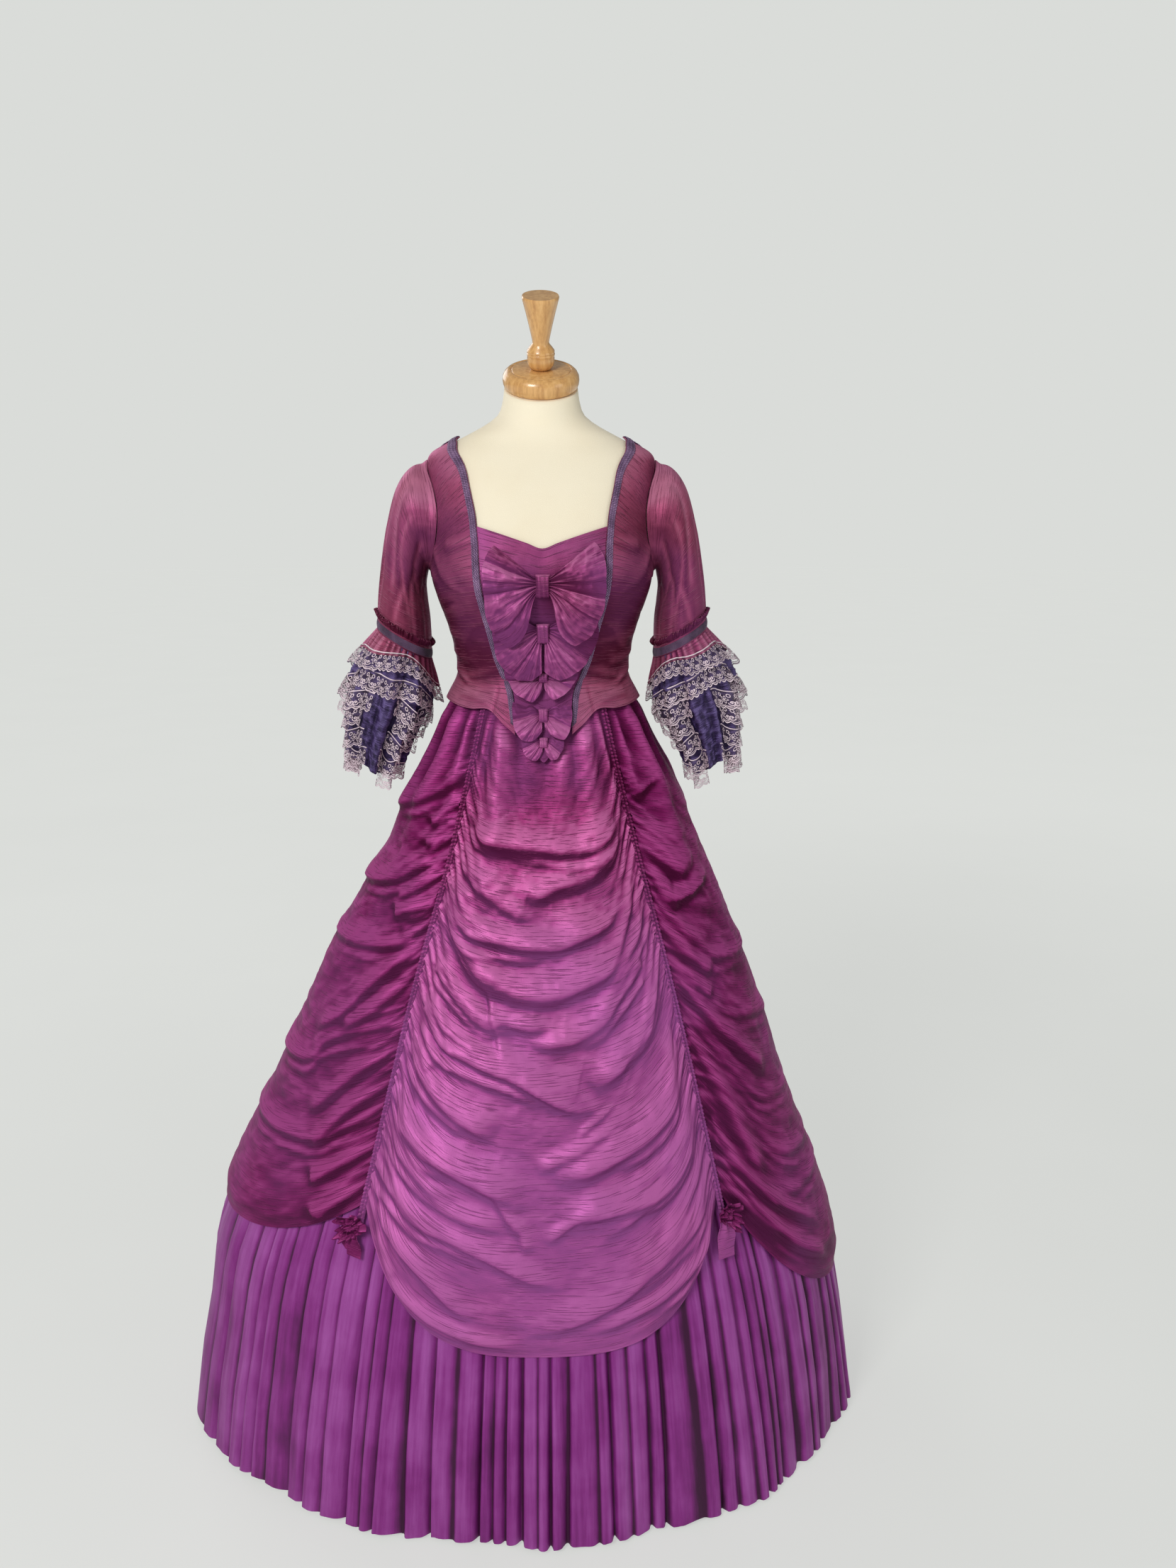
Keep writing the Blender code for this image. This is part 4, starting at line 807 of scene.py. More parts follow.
def studio_floor(name, colour, near_glow, far_glow):
    """A pale floor whose own faint light evens it out into the backdrop."""
    finish = Finish(name)
    away = finish.add("VectorMath", finish.place, operation="LENGTH", out=1).remap(0.8, 5.0)
    pale = finish.blend(finish.noise(finish.place, 2.0) * 0.06, colour, (1.0, 1.0, 1.0))
    return finish.shader(Base_Color=pale, Roughness=0.9, Specular_IOR_Level=0.1,
                         Emission_Color=finish.blend(away, near_glow, far_glow),
                         Emission_Strength=1.0)


def backdrop_paper(name, colour):
    return Finish(name).shader(Base_Color=(0.0, 0.0, 0.0), Specular_IOR_Level=0.0,
                               Emission_Color=colour, Emission_Strength=1.0)


LOOKS = {}


def look(name):
    """A finish, made once."""
    colours = bpy.context.scene.gown_colours

    def silk(kind, *rest):
        parts = [getattr(colours, kind + end) for end in ("_shade", "_body", "_light")]
        return shot_silk(name, *parts, colours.cast, *rest)

    # Of the three colours given to each silk, cotton and braid, the first is painted shade and the
    # last painted light
    makers = {
        "rose_silk": lambda: silk("rose", 0.12, 0.0, 0.14),
        "magenta_silk": lambda: silk("magenta", 0.04, 0.85),
        "wine_silk": lambda: silk("wine", 0.06, 0.20, 0.35),
        "bow_silk": lambda: shot_silk(name, (0.085, 0.007, 0.035), (0.300, 0.052, 0.150),
                                      (0.560, 0.160, 0.340), colours.cast, 0.10, 0.0, 0.30),
        "purple_cotton": lambda: plain_cotton(name, (0.050, 0.005, 0.040), colours.petticoat,
                                              (0.42, 0.10, 0.42)),
        "violet_cotton": lambda: plain_cotton(name, (0.018, 0.010, 0.042), colours.violet,
                                              (0.18, 0.13, 0.34), 1.0),
        "slate_braid": lambda: scroll_gimp(name, (0.055, 0.028, 0.066), (0.205, 0.105, 0.235),
                                           (0.40, 0.25, 0.43)),
        "mauve_lace": lambda: embroidered_net(name, colours.lace, (0.24, 0.16, 0.22)),
        "linen": lambda: cream_linen(name, (0.98, 0.895, 0.70), (0.95, 0.845, 0.63)),
        "wood": lambda: honey_wood(name, (0.88, 0.55, 0.235), (0.72, 0.40, 0.14),
                                   (0.48, 0.22, 0.065)),
    }
    if name not in LOOKS:
        LOOKS[name] = makers[name]()
    return LOOKS[name]


# The form and its stand


def turned(name, replaced, steps, placing):
    """Turned wood: a profile spun round the upright axis."""
    mesh = bmesh.new()
    verts = [mesh.verts.new((radius, 0.0, height)) for radius, height in PROFILES[name]]
    edges = [mesh.edges.new(pair) for pair in zip(verts, verts[1:])]
    bmesh.ops.spin(mesh, geom=verts + edges, cent=(0, 0, 0), axis=(0, 0, 1), angle=math.tau,
                   steps=steps, use_merge=True)
    bmesh.ops.remove_doubles(mesh, verts=mesh.verts[:], dist=0.00001)
    bmesh.ops.recalc_face_normals(mesh, faces=mesh.faces[:])
    bmesh.ops.transform(mesh, matrix=placing, verts=mesh.verts[:])
    for face in mesh.faces:
        face.smooth = True
    for edge in mesh.edges:
        edge.smooth = edge.calc_face_angle(0.0) < math.radians(50.0)
    stand_for(add_object(name, mesh, look("wood")), replaced)


def cover_form():
    """The form's padded cover, closed at both ends."""
    mesh = bmesh.new()
    bmesh.ops.create_grid(mesh, x_segments=80, y_segments=96, size=0.5)
    flat = np.array([vert.co for vert in mesh.verts])
    height = mix(FORM[0, 0], FORM[-1, 0], flat[:, 1] + 0.5)
    for vert, point in zip(mesh.verts, form_point(360.0 * flat[:, 0], height, -0.0008)):
        vert.co = point
    bmesh.ops.remove_doubles(mesh, verts=mesh.verts[:], dist=0.000002)
    rims = [edge for edge in mesh.edges if edge.is_boundary]
    bmesh.ops.holes_fill(mesh, edges=rims, sides=0)
    bmesh.ops.recalc_face_normals(mesh, faces=mesh.faces[:])
    for face in mesh.faces:
        face.smooth = len(face.verts) <= 4
    stand_for(add_object("form_cover", mesh, look("linen")), "form_torso")


# The bodice


def front_plan():
    """(angle, height) over the bodice's front, its first strip as wide as the braid."""
    plan = []
    for index, (angle, height, side_angle, side_height) in enumerate(FRONT):
        ends = over_body([angle, side_angle], [height, side_height], 0.0)
        first = min(BRAID_WIDTH / np.linalg.norm(ends[1] - ends[0]), 0.45)
        row = []
        for t in (0.0, *(mix(first, 1.0, column / 5) for column in range(6))):
            at, up = mix(angle, side_angle, t), mix(height, side_height, t)
            if index == 0:
                up = side_height - POINT_DROP * max(POINT_ANGLE - at, 0.0) / (POINT_ANGLE - angle)
            row.append((at, up))
        plan.append(row)
    plan[1] = [(b[0], (a[1] + c[1]) / 2) for a, b, c in zip(*plan[:3])]
    return np.array(plan)


def back_plan():
    return np.array([[(mix(CENTRE_BACK, side, t), mix(up, side_up, t))
                      for t in np.linspace(0.0, 1.0, 8)] for up, side, side_up in BACK])


def stomacher_plan():
    plan = []
    for centre, row in zip(STOMACHER_CENTRE, front_plan()):
        angle, height = row[0]
        angle -= math.degrees(GAP / 0.1)
        plan.append([(angle * t, mix(centre, height, abs(t))) for t in np.linspace(-1.0, 1.0, 9)])
    return np.array(plan)


def folds_over(folds, angle, height, radius, slope=1.0):
    """How far folds rise from a surface: each is a crest, soft above, sharp below."""
    total = np.zeros(len(angle))
    for rise, above, below, line in folds:
        line = np.array(line)
        steps = np.linspace(0.0, 1.0, 12 * len(line))
        path = spread(np.stack([line, line]), steps, np.zeros(len(steps)))
        near = np.abs(height - path[:, 1].mean()) < np.ptp(path[:, 1]) / 2 + 0.12
        if not near.any():
            continue
        reach = radius[near]
        dx = np.radians(angle[near, None] - path[None, :, 0]) * reach[:, None]
        dz = (height[near, None] - path[None, :, 1]) * slope
        nearest = (dx**2 + dz**2).argmin(axis=1)
        pick = np.arange(len(nearest)), nearest
        along = np.gradient(np.radians(path[:, 0]) * reach.mean())[nearest]
        up = np.gradient(path[:, 1] * slope)[nearest]
        length = np.hypot(along, up)
        onward = (along * dx[pick] + up * dz[pick]) / length
        side = (along * dz[pick] - up * dx[pick]) / length
        side = side * (1.0 if path[-1, 0] > path[0, 0] else -1.0)
        square = side**2 + np.maximum(np.abs(onward) - length / 2, 0.0) ** 2
        f = np.clip((nearest + onward / length) / (len(steps) - 1.0), 0.0, 1.0)
        strength = mix(0.45, 1.0, ramp(f, 0.0, 0.3)) * fade(f, 0.75, 1.0)
        width = np.where(side > 0, above, 0.72 * below) * 0.001 * mix(0.45, 1.0, ramp(f, 0.0, 0.5))
        amount = rise * 0.001 * strength * np.exp(-square / width**2)
        total[near] += np.sign(rise) * amount**2
    return np.sign(total) * np.sqrt(np.abs(total))


def shade_tone(out, u, v, gain, low=-0.4, high=0.22, lean=0.0):
    """Painted shade in a relief's creases and where it leans down, painted light on its crests."""
    order, columns = in_rows(u, v)
    soft = grid = out[order].reshape(-1, columns)
    for step in range(10):
        padded = np.pad(soft, 1, mode="edge")
        soft = (padded[:-2, 1:-1] + padded[2:, 1:-1] + padded[1:-1, :-2] + padded[1:-1, 2:]) / 4.0
        near = soft if step < 2 else near
    shade = (2.5 * grid - soft - 1.5 * near) * gain - np.gradient(grid, axis=0) * lean
    tone = np.empty_like(out)
    tone[order] = shade.ravel()
    return np.clip(tone, low, high)


def soft_waist(angle, height, out):
    """Points over the body, with the crease of its waist rounded out by the cloth that spans it."""
    placed = over_body(angle, height, out)
    steps = (-0.014, -0.007, 0.0, 0.007, 0.014)
    smooth = sum(over_body(angle, height + step, out)[:, :2] for step in steps) / len(steps)
    placed[:, :2] = mix(placed[:, :2], smooth, bell(height - WAIST, 0.022)[:, None])
    return placed


def bodice_place(u, v, plan, folds=True, seed=0.0, under_bows=0.0):
    angle, height = spread(plan, u, v).T
    rough = noise_at(angle * 0.10 + seed, height * 30.0, 3.1 + seed, 2) * 0.0006
    if folds:
        rough = rough + folds_over(BODICE_FOLDS, angle, height, np.full(len(angle), 0.14))
        lowered = ramp(WAIST - height, 0.004, 0.05) * fade(angle, 48.0, 82.0)
        height, rough = height - HEM_DROP * lowered, rough + 0.002 * lowered
    # Painted shade in the bodice's creases, and the bows' painted shadow on the stomacher below them
    tone = shade_tone(rough, u, v, 90.0, -0.3, 0.1) - under_bows * fade(height, 1.20, 1.27)
    return soft_waist(angle, height, np.maximum(BODICE_OUT + rough, 0.0014)), tone


def braid_place(u, v, plan, length=0.42):
    """A band of gimp up the bodice's front edge, its own edges looped."""
    loops = np.abs(np.sin(v * length / 0.0042 * math.pi))
    inset = (np.abs(2 * u - 1) > 0.98) * (1.0 - loops) * 0.07
    angle, height = spread(plan, 0.03 + 0.66 * u + np.where(u < 0.5, inset, -inset), v).T
    sway = SCROLL_SWAY * np.sin(v * length * math.tau / SCROLL)
    crown = 1.0 - np.abs(2 * u - 1) ** 3
    cords = np.sin((u * BRAID_WIDTH + sway) * math.tau / CORD) * crown
    out = BODICE_OUT + 0.0010 + 0.0013 * crown + 0.0004 * cords
    # Painted light on the cords' tops and painted shade between them
    return over_body(angle, height, out), 0.25 * cords


def back_braid_place(u, v, plan):
    crown = 1.0 - np.abs(2 * v - 1) ** 3
    placed = over_body(*spread(plan, u, v).T, BODICE_OUT + 0.0010 + 0.0012 * crown)
    return placed, np.zeros_like(u)


# Bows


def bow_place(u, v, index):
    middle, reach, knot_width, knot_height, lift = BOWS[index]
    top, bottom, *reaches = WINGS[index]
    small, scale = index > 0, min(reach / 0.07, 1.0)
    wing, aside, t = np.sign(2 * u - 1), np.abs(2 * u - 1), 1.0 - v
    step = np.clip((aside - 0.08) / 0.92, 0.0, 1.0)
    bend = (0.0 if small else 10.0) * t**3 * np.sin(math.pi * step)
    direction = np.radians(mix(top, bottom, t) - bend)
    fold, tone, edge = np.zeros_like(t), np.zeros_like(t), np.ones_like(t)
    for side, bands in zip((-1.0, 1.0), BANDS[small]):
        for start, end, tone_shift, bulge in bands:
            f = (t - start) / (end - start)
            inside = (f >= 0) & (f < 1.0001) & (wing == side)
            f = np.clip(f, 0.0, 1.0)
            # Painted shadow at each band's start, under the fold of the band before it; painted
            # highlight on each band's folded end; each band's tone shift is painted light and shade
            dark = 0.75 * bell(f, 0.07) * (start > 0)
            fold += inside * (1.3 * f**0.7 + 0.5 * bulge * np.sin(math.pi * f))
            tone += inside * (2.3 * tone_shift - dark + 0.20 * bell(f - 1.0, 0.08))
            edge += inside * 0.022 * bulge * np.sin(math.pi * f)
    left, right = (np.interp(t, np.linspace(0.0, 1.0, 7), mm) for mm in reaches)
    span = np.where(wing < 0, left, right) * 0.001 * edge
    beside = knot_width * mix(1.1, 0.25 if small else 0.9, t) * np.minimum(aside / 0.08, 1.0)
    across = wing * mix(beside, span * np.cos(direction), step)
    upward = mix(mix(knot_height, -knot_height, t) * 0.75, span * np.sin(direction), step)
    upward = upward + 0.004 * small * np.sin(math.pi * np.minimum(2.2 * step, 1.0)) * (1.0 - t) ** 4
    overlap = ramp(-upward / reach, 0.06, 0.66)
    free = np.clip(np.abs(across) - knot_width, 0.0, 1.0) / reach
    puff = 0.0026 + 0.0040 * np.sin(math.pi * np.clip(step * 0.92 + 0.06, 0, 1)) ** 0.7
    crinkle = 0.0020 * (0.3 - np.abs(noise_at(across * 44.0 + index * 7.0, upward * 44.0, 1.7)))
    rays = 0.0032 * (0.3 - np.abs(noise_at(t * 8.0 + 4.0 * wing, step * 1.2 + index, 5.3)))
    crinkle = (crinkle + rays) * ramp(step, 0.05, 0.4) * scale
    gathers = np.sin(t * 46.0 + wing + 9.0 * t * t + 2.0 * np.sin(t * 17.0 + index))
    crinkle = crinkle + gathers * 0.0015 * fade(step, 0.06, 0.5) * scale
    out = 0.0036 + 0.8 * lift * overlap + 0.0055 * free**2
    out = out + scale * (puff + 0.0032 * fold * ramp(step, 0.0, 0.3)) + crinkle
    out, height = np.maximum(out, 0.0034), middle + upward
    turn = across / body_radius(height)
    for _ in range(3):
        at = over_body(np.degrees(turn), height, out)[:, 0]
        off_centre = np.abs(at) > 1e-5
        turn = turn * np.where(off_centre, across / np.where(off_centre, at, 1.0), 1.0)
    # Painted shade in the crinkles, painted light on their crests and a painted highlight on the
    # wings' rims
    tone = tone + shade_tone(crinkle, u, v, 230.0, -0.70, 0.36) + 0.12 * ramp(step, 0.93, 1.0)
    # Painted shade where the wings gather into the knot, and on the lower bows the painted shadow of
    # the bow above
    tone = tone - 0.30 * fade(step, 0.0, 0.25) - 0.42 * small * fade(t, 0.05, 0.45)
    return over_body(np.degrees(turn), height, out), tone


def knot_place(u, v, index):
    middle, reach, knot_width, knot_height, _ = BOWS[index]
    x, t = 2 * u - 1, 2 * v - 1
    rise = 0.0062 * np.sqrt(np.clip(1.0 - 0.75 * np.abs(x) ** 4, 0, 1)) * (1.0 - 0.35 * t * t)
    pleats = 0.0006 * np.sin(x * 9.0 + 0.8 * t + index)
    height = middle + t * knot_height
    angle = np.degrees(x * knot_width * (0.90 + 0.10 * t * t) / body_radius(height))
    edge = np.maximum(np.abs(x), np.abs(t)) > 0.99
    out = 0.0036 + 0.0035 * min(reach / 0.07, 1.0) + np.where(edge, 0.0, rise + pleats)
    # Painted light on the pleats' ridges and painted shade between them; the lowest knot much paler
    return over_body(angle, height, out), (0.60 if index == 4 else 0.12) + pleats * 90.0


# Sleeves and cuffs


def resample(loop, count):
    """Points at equal steps along a closed loop."""
    closed = np.vstack([loop, loop[:1]])
    lengths = np.linalg.norm(np.diff(closed, axis=0), axis=1)
    lengths = np.concatenate([[0.0], np.cumsum(lengths)])
    wanted = lengths[-1] * np.arange(count) / count
    return np.stack([np.interp(wanted, lengths, closed[:, axis]) for axis in range(3)], axis=1)


def armhole(out):
    front = [(side, up) for _, _, side, up in FRONT[9:]][::-1]
    back = [(side, up) for _, side, up in BACK[10:16]]
    return over_body(*np.array(front + back).T, out)


def arm_point(row, turn, out):
    """Points of an arm loop's row (six columns), moved out from its middle."""
    outer_x, outer_z, inner_x, inner_z, y, deep = row
    half_x, half_z = (outer_x - inner_x) / 2, (outer_z - inner_z) / 2
    half = np.hypot(half_x, half_z)
    grow = (half + out) / half * wave(turn)
    return np.stack([(outer_x + inner_x) / 2 + half_x * grow,
                     y - (deep + out) * np.cos(np.radians(turn)),
                     (outer_z + inner_z) / 2 + half_z * grow], axis=-1)


def sleeve_grid():
    """Loops of points from the cuff up to the armhole, at the wearer's left."""
    hole = resample(armhole(0.0), 16)
    middle = hole.mean(axis=0)
    turns = np.degrees(np.arctan2(hole[:, 2] - middle[2], middle[1] - hole[:, 1]))
    head = resample(armhole(EASE + CLOTH / 2), 16)
    outward = (head - head.mean(axis=0)) * (0.0, 1.0, 1.0)
    outward /= np.linalg.norm(outward, axis=1)[:, None]
    loops = [head + (0.0014, 0.0, 0.0) + outward * 0.0008]
    return np.array((loops + [arm_point(row, turns, 0.0) for row in SLEEVE])[::-1])


def normals_of(points, u, v):
    """The square direction at each point of a placed grid."""
    order, columns = in_rows(u, v)
    grid = points[order].reshape(-1, columns, 3)
    square = np.cross(np.gradient(grid, axis=1), np.gradient(grid, axis=0))
    square /= np.linalg.norm(square, axis=2)[:, :, None] + 1e-12
    result = np.empty_like(points)
    result[order] = square.reshape(-1, 3)
    return result


def sleeve_place(u, v, side):
    points = spread(sleeve_grid(), u, v, wrap=True)
    streaks = noise_at(360.0 * u / 17.0 * side + 5.0, v * 2.4, 2.2)
    out = (0.0008 * np.abs(streaks) - 0.0002) * ramp(u, 0.0, 0.06) * fade(u, 0.94, 1.0)
    for rise, width, turn_a, v_a, turn_b, v_b in SLEEVE_FOLDS:
        f = np.clip((v_a - v) / (v_a - v_b), 0.0, 1.0)
        off = 360.0 * u - 90.0 - mix(turn_a, turn_b, f) - 6.0 * np.sin(5.0 * f + turn_a)
        off = (off + 180.0) % 360.0 - 180.0
        strength = ramp(v, v_b - 0.06, v_b + 0.08) * fade(v, v_a - 0.1, v_a + 0.06)
        out = out + 0.001 * rise * strength * bell(off * 1.1, width)
    out = out * ramp(v, 0.0, 0.05) * fade(v, 0.97, 1.0)
    head = 0.0022 * bell(v - 0.93, 0.035)
    placed = points + normals_of(points, u, v) * (out + head)[:, None]
    # Painted light over the whole sleeve, with painted shade in its folds and painted light on their
    # crests
    return placed, 0.22 + shade_tone(out, u, v, 130.0, -0.4, 0.2)


def flutes(turn, drop, seed, waves, fine=1.0):
    """The waves of a gathered flounce, wider as it falls."""
    warp = 11.0 * wave(turn * 2.0, seed) + 7.0 * wave(turn * 5.0, 2.0 * seed)
    fall = np.clip(drop / 0.05, 0.0, 1.9)
    broad = np.cos(np.radians(turn * waves + warp)) * 0.0040 * np.minimum(fall * 1.25, 1.0)
    broad += np.cos(np.radians(turn * 11.0 - 2.0 * warp + 40.0 * seed)) * 0.0030 * fall
    return broad + np.cos(np.radians(turn * 27.0 + 7.0 * warp)) * 0.0014 * fine


def tier_edge(front, back, turn, seed):
    return mix(front, back, (1.0 - np.cos(np.radians(turn))) / 2) + 0.006 * wave(turn * 3.0, seed)


def beside_arm(turn, drop, insets, out):
    rows = np.column_stack([np.arange(len(CUFF)), np.array(CUFF)])
    inward = mix(*insets, np.minimum(drop / 0.03, 1.0))
    return arm_point(smooth_rows(rows, drop / CUFF_STEP).T, turn, out - inward)


def tier_place(u, v, tier, side, waves):
    front, back, *insets, _, seed = TIERS[tier]
    seed += 0.5 * side
    turn = 360.0 * u - 90.0
    drop = 0.0006 + (1.0 - v) * tier_edge(front, back, turn, seed)
    out = flutes(turn, drop, seed, waves)
    crumple = np.zeros_like(drop)
    if tier != "silk":
        rows = noise_at(turn / 30.0, drop * 260.0, seed)
        crumple = (np.abs(rows) * 0.0046 - 0.0012) * ramp(drop, 0.0, 0.02)
    # Painted shade in the flutes' and crumples' hollows, painted light on their crests
    tone = shade_tone(out + 1.6 * crumple, u, v, 120.0, -0.4, 0.35)
    return beside_arm(turn, drop, insets, out + crumple), tone


def lace_place(u, v, tier, side, waves, turns, drop_at=None, lift=0.0012):
    """A band of lace from a tier's edge, or from a drop of its own, between two turns."""
    front, back, *insets, _, seed = TIERS[tier]
    seed += 0.5 * side
    turn = mix(*turns, u)
    edge = tier_edge(front, back, turn, seed)
    if drop_at:
        edge = drop_at + 0.010 * np.sin(math.pi * u) + 0.004 * np.sin(u * 9.0 + seed)
    drop = edge - 0.004 + (1.0 - v) * LACE_DEPTH
    out = flutes(turn, drop, seed, waves, 0.5) * mix(1.0, 1.35, 1.0 - v)
    placed = beside_arm(turn, drop, insets, out + lift + 0.0035 * (1.0 - v))
    # Painted shade in the flutes' hollows, painted light on their crests
    return placed, shade_tone(out, u, v, 60.0, -0.3, 0.2)


def cuff_band_place(u, v, low, high, outs, swing, count, tone_shift):
    """A band round the sleeve's end, on its slope carried on downwards."""
    turn = 360.0 * u - 90.0
    ripple = np.radians(turn * count) + 2.6 * wave(turn * 7.0) + 1.5 * np.sin(turn * 0.3)
    ripple = np.cos(ripple) * v
    along = mix(low, high, v) + swing * 0.5 * ripple
    rows = np.column_stack([np.arange(len(SLEEVE)), np.array(SLEEVE)])
    row = smooth_rows(rows, len(SLEEVE) - 1 + along / LAST_SLEEVE_STEP).T
    beyond = np.clip(along, 0.0, 1.0) / LAST_SLEEVE_STEP
    row = [a + (a - b) * beyond for a, b in zip(row, SLEEVE[-2])]
    out = mix(*outs, v) + swing * ripple + 0.0009 * np.sin(math.pi * v)
    # Painted light on the frill's ripples and painted shade between them
    return arm_point(row, turn, out), tone_shift + 0.25 * ripple * (swing > 0)


# Skirts


def with_companions(folds):
    """The folds, and above and below each a slighter one that runs out sooner."""
    made = list(folds)
    for index, (rise, above, below, line) in enumerate(folds):
        steep = np.ptp(np.array(line), axis=0) @ (-0.0052, 1.0) > 0.0
        for shift, share in () if steep else ((-0.019, 0.7), (0.016, 0.5)):
            keep = max(2, round(len(line) * share))
            drop = shift * (1.0 + 0.35 * math.sin(2.1 * index))
            beside = [(angle, height + drop * mix(1.1, 0.6, n / keep))
                      for n, (angle, height) in enumerate(line[:keep])]
            made.append((0.55 * rise, 0.42 * above, 0.6 * below, beside))
    return made


def across_side(folds, middle, carried):
    """A side's folds and their mirror images behind it, every third one carried past its middle."""
    made = []
    for index, (rise, above, below, line) in enumerate(folds):
        mirrored = [(2 * middle - angle, height) for angle, height in line]
        made.append((rise, above, below, mirrored))
        if index % 3 == 0:
            line = line + [(middle, line[-1][1] - 0.014), mirrored[-1], mirrored[-2]]
            rise = carried * rise
        made.append((rise, above, below, line))
    return made


def behind(folds):
    return [(*sizes, [(180.0 + angle, height) for angle, height in line]) for *sizes, line in folds]


FRONT_FOLDS, RIGHT_FOLDS, LEFT_FOLDS = map(picked_folds, (FRONT_PICKS, RIGHT_PICKS, LEFT_PICKS))
# name, start and end angle, sag, squareness, folds, finish, columns and rows
PANELS = [
    ("overskirt_front", -FRONT_SEAM, FRONT_SEAM, 0.172, 3.7, with_companions(FRONT_FOLDS),
     "magenta_silk", 162, 204),
    ("overskirt_right", -BACK_SEAM, -FRONT_SEAM, 0.088, 2.6,
     with_companions(across_side(RIGHT_FOLDS, -90.0, 0.6)), "wine_silk", 126, 160),
    ("overskirt_left", FRONT_SEAM, BACK_SEAM, 0.215, 2.6,
     with_companions(across_side(LEFT_FOLDS, 90.0, 0.35)), "wine_silk", 126, 160),
    ("overskirt_back", BACK_SEAM, 360.0 - BACK_SEAM, 0.150, 3.0,
     behind(with_companions(FRONT_FOLDS)), "magenta_silk", 104, 132),
]


def waist_gathers(turn, height, radius):
    """Upright folds that run out of the waist's gathers and fade away below them."""
    total = np.zeros(len(turn))
    for angle, drift, length, width, rise in WAIST_GATHERS:
        f = (OVERSKIRT_TOP - height) / length
        off = np.radians(turn - angle - drift * f) * radius
        wide = 0.001 * width * mix(0.6, 1.5, np.clip(f, 0.0, 1.0))
        total += (0.001 * rise * bell(off, wide) * fade(f, 0.3, 1.0)) ** 2
    return np.sqrt(total)


def panel_place(u, v, panel, depth):
    _, start, end, sag, square, folds, finish, _, rows = panel
    wine, down = finish == "wine_silk", 1.0 - v
    arch = 1.0 - np.abs(2 * u - 1) ** mix(2.0, square, down)
    height = mix(OVERSKIRT_TOP, SEAM_FOOT, down) - sag * down**SAG_POWER * arch
    angle = mix(start, end, u)
    radius = skirt_radius(angle, height)
    angle = angle + np.degrees(PANEL_EDGE / radius) * (1.0 - 2.0 * u)
    seam = np.minimum(u, 1.0 - u) * np.radians(end - start) * radius
    warp = noise_at(angle * 0.05, height * 5.0, 8.0, 2)
    low = ramp(down, 0.06, 0.34)

    # From the waist, flat under the bodice's hem
    hem = np.interp(np.abs(angle), *BASQUE_HEM)
    gathers = waist_gathers(angle - (start + end) / 2, height, radius) * ramp(down, -0.05, 0.02)
    gathers = gathers * ramp(seam, 0.001, 0.013)
    gathers = gathers * mix(0.15, 1.0, ramp(hem - height, -0.012, 0.022))

    # From the seams
    slant, phase = height + seam * (0.9 if wine else 1.7), 20.0 * (u > 0.5) + start
    fine = np.sin(slant * math.tau / 0.0105 + 7.0 * warp + phase + 2.6 * np.sin(slant * 71.0))
    fine = 0.0017 * fine * (1.0 + 0.9 * np.sin(slant * 97.0 + phase)) * np.exp(-seam / 0.010)
    pulls = np.sin(slant * math.tau / 0.029 + 5.0 * warp + 2.0 * phase + 2.2 * np.sin(slant * 41.0))
    crimp = (fine + 0.0020 * pulls * np.exp(-seam / 0.030)) * ramp(down, 0.06, 0.16)

    # All over
    swags = folds_over(folds, angle, height, radius, 1.12) * depth
    along = noise_at(angle * 0.07, down * 21.0, 5.0 + start * 0.01)
    ripples = (0.0034 if wine else 0.0024) * (0.55 - np.abs(along)) * low * ramp(seam, 0.0, 0.02)
    small = noise_at(angle * 0.10, down * 52.0 - 9.0 * seam, 2.0 + start * 0.01)
    small = 0.0018 * (0.5 - np.abs(small)) * (0.35 + 0.9 * np.exp(-seam / 0.06))
    small = small * mix(0.2, 1.0, low)
    out = 0.0055 * ramp(seam, 0.0, 0.07) * ramp(down, 0.06, 0.3) + swags + ripples + small
    out = out * mix(0.22, 1.0, ramp(seam, 0.0, 0.035)) + gathers + crimp
    roll = ramp(down, 0.972, 1.0)
    out = np.maximum(LAY + 0.0022 + out * (1.0 - 0.8 * roll) - 0.0015 * roll, 0.0022)

    relief = swags + 1.3 * gathers + crimp * 0.9 + ripples + small
    # Painted shade in the relief's creases and where it leans down, painted light on its crests
    tone = shade_tone(relief, u, v, 145.0, -0.95, 0.45, 0.60 * rows)
    # Painted shadow in a crease just above the hem, painted light on the rolled hem
    tone = tone - 0.20 * bell(down - 0.952, 0.006) + 0.10 * ramp(down, 0.962, 0.975)
    # Near the waist, painted shade between the gathers and painted light on their crests
    tone = tone + mix(-0.60, 0.16, np.clip(gathers / 0.0090, 0.0, 1.0)) * fade(down, 0.04, 0.26)
    if wine:
        # Painted light in a band below the waist
        tone = tone + 0.14 * ramp(down, 0.05, 0.12) * fade(down, 0.25, 0.45)
    else:
        # Painted light growing towards the hem, painted shade just below the waist
        tone = tone + mix(-0.04, 0.12, down) - 0.08 * fade(down, 0.06, 0.2)
    return around(angle, radius + out, height), tone


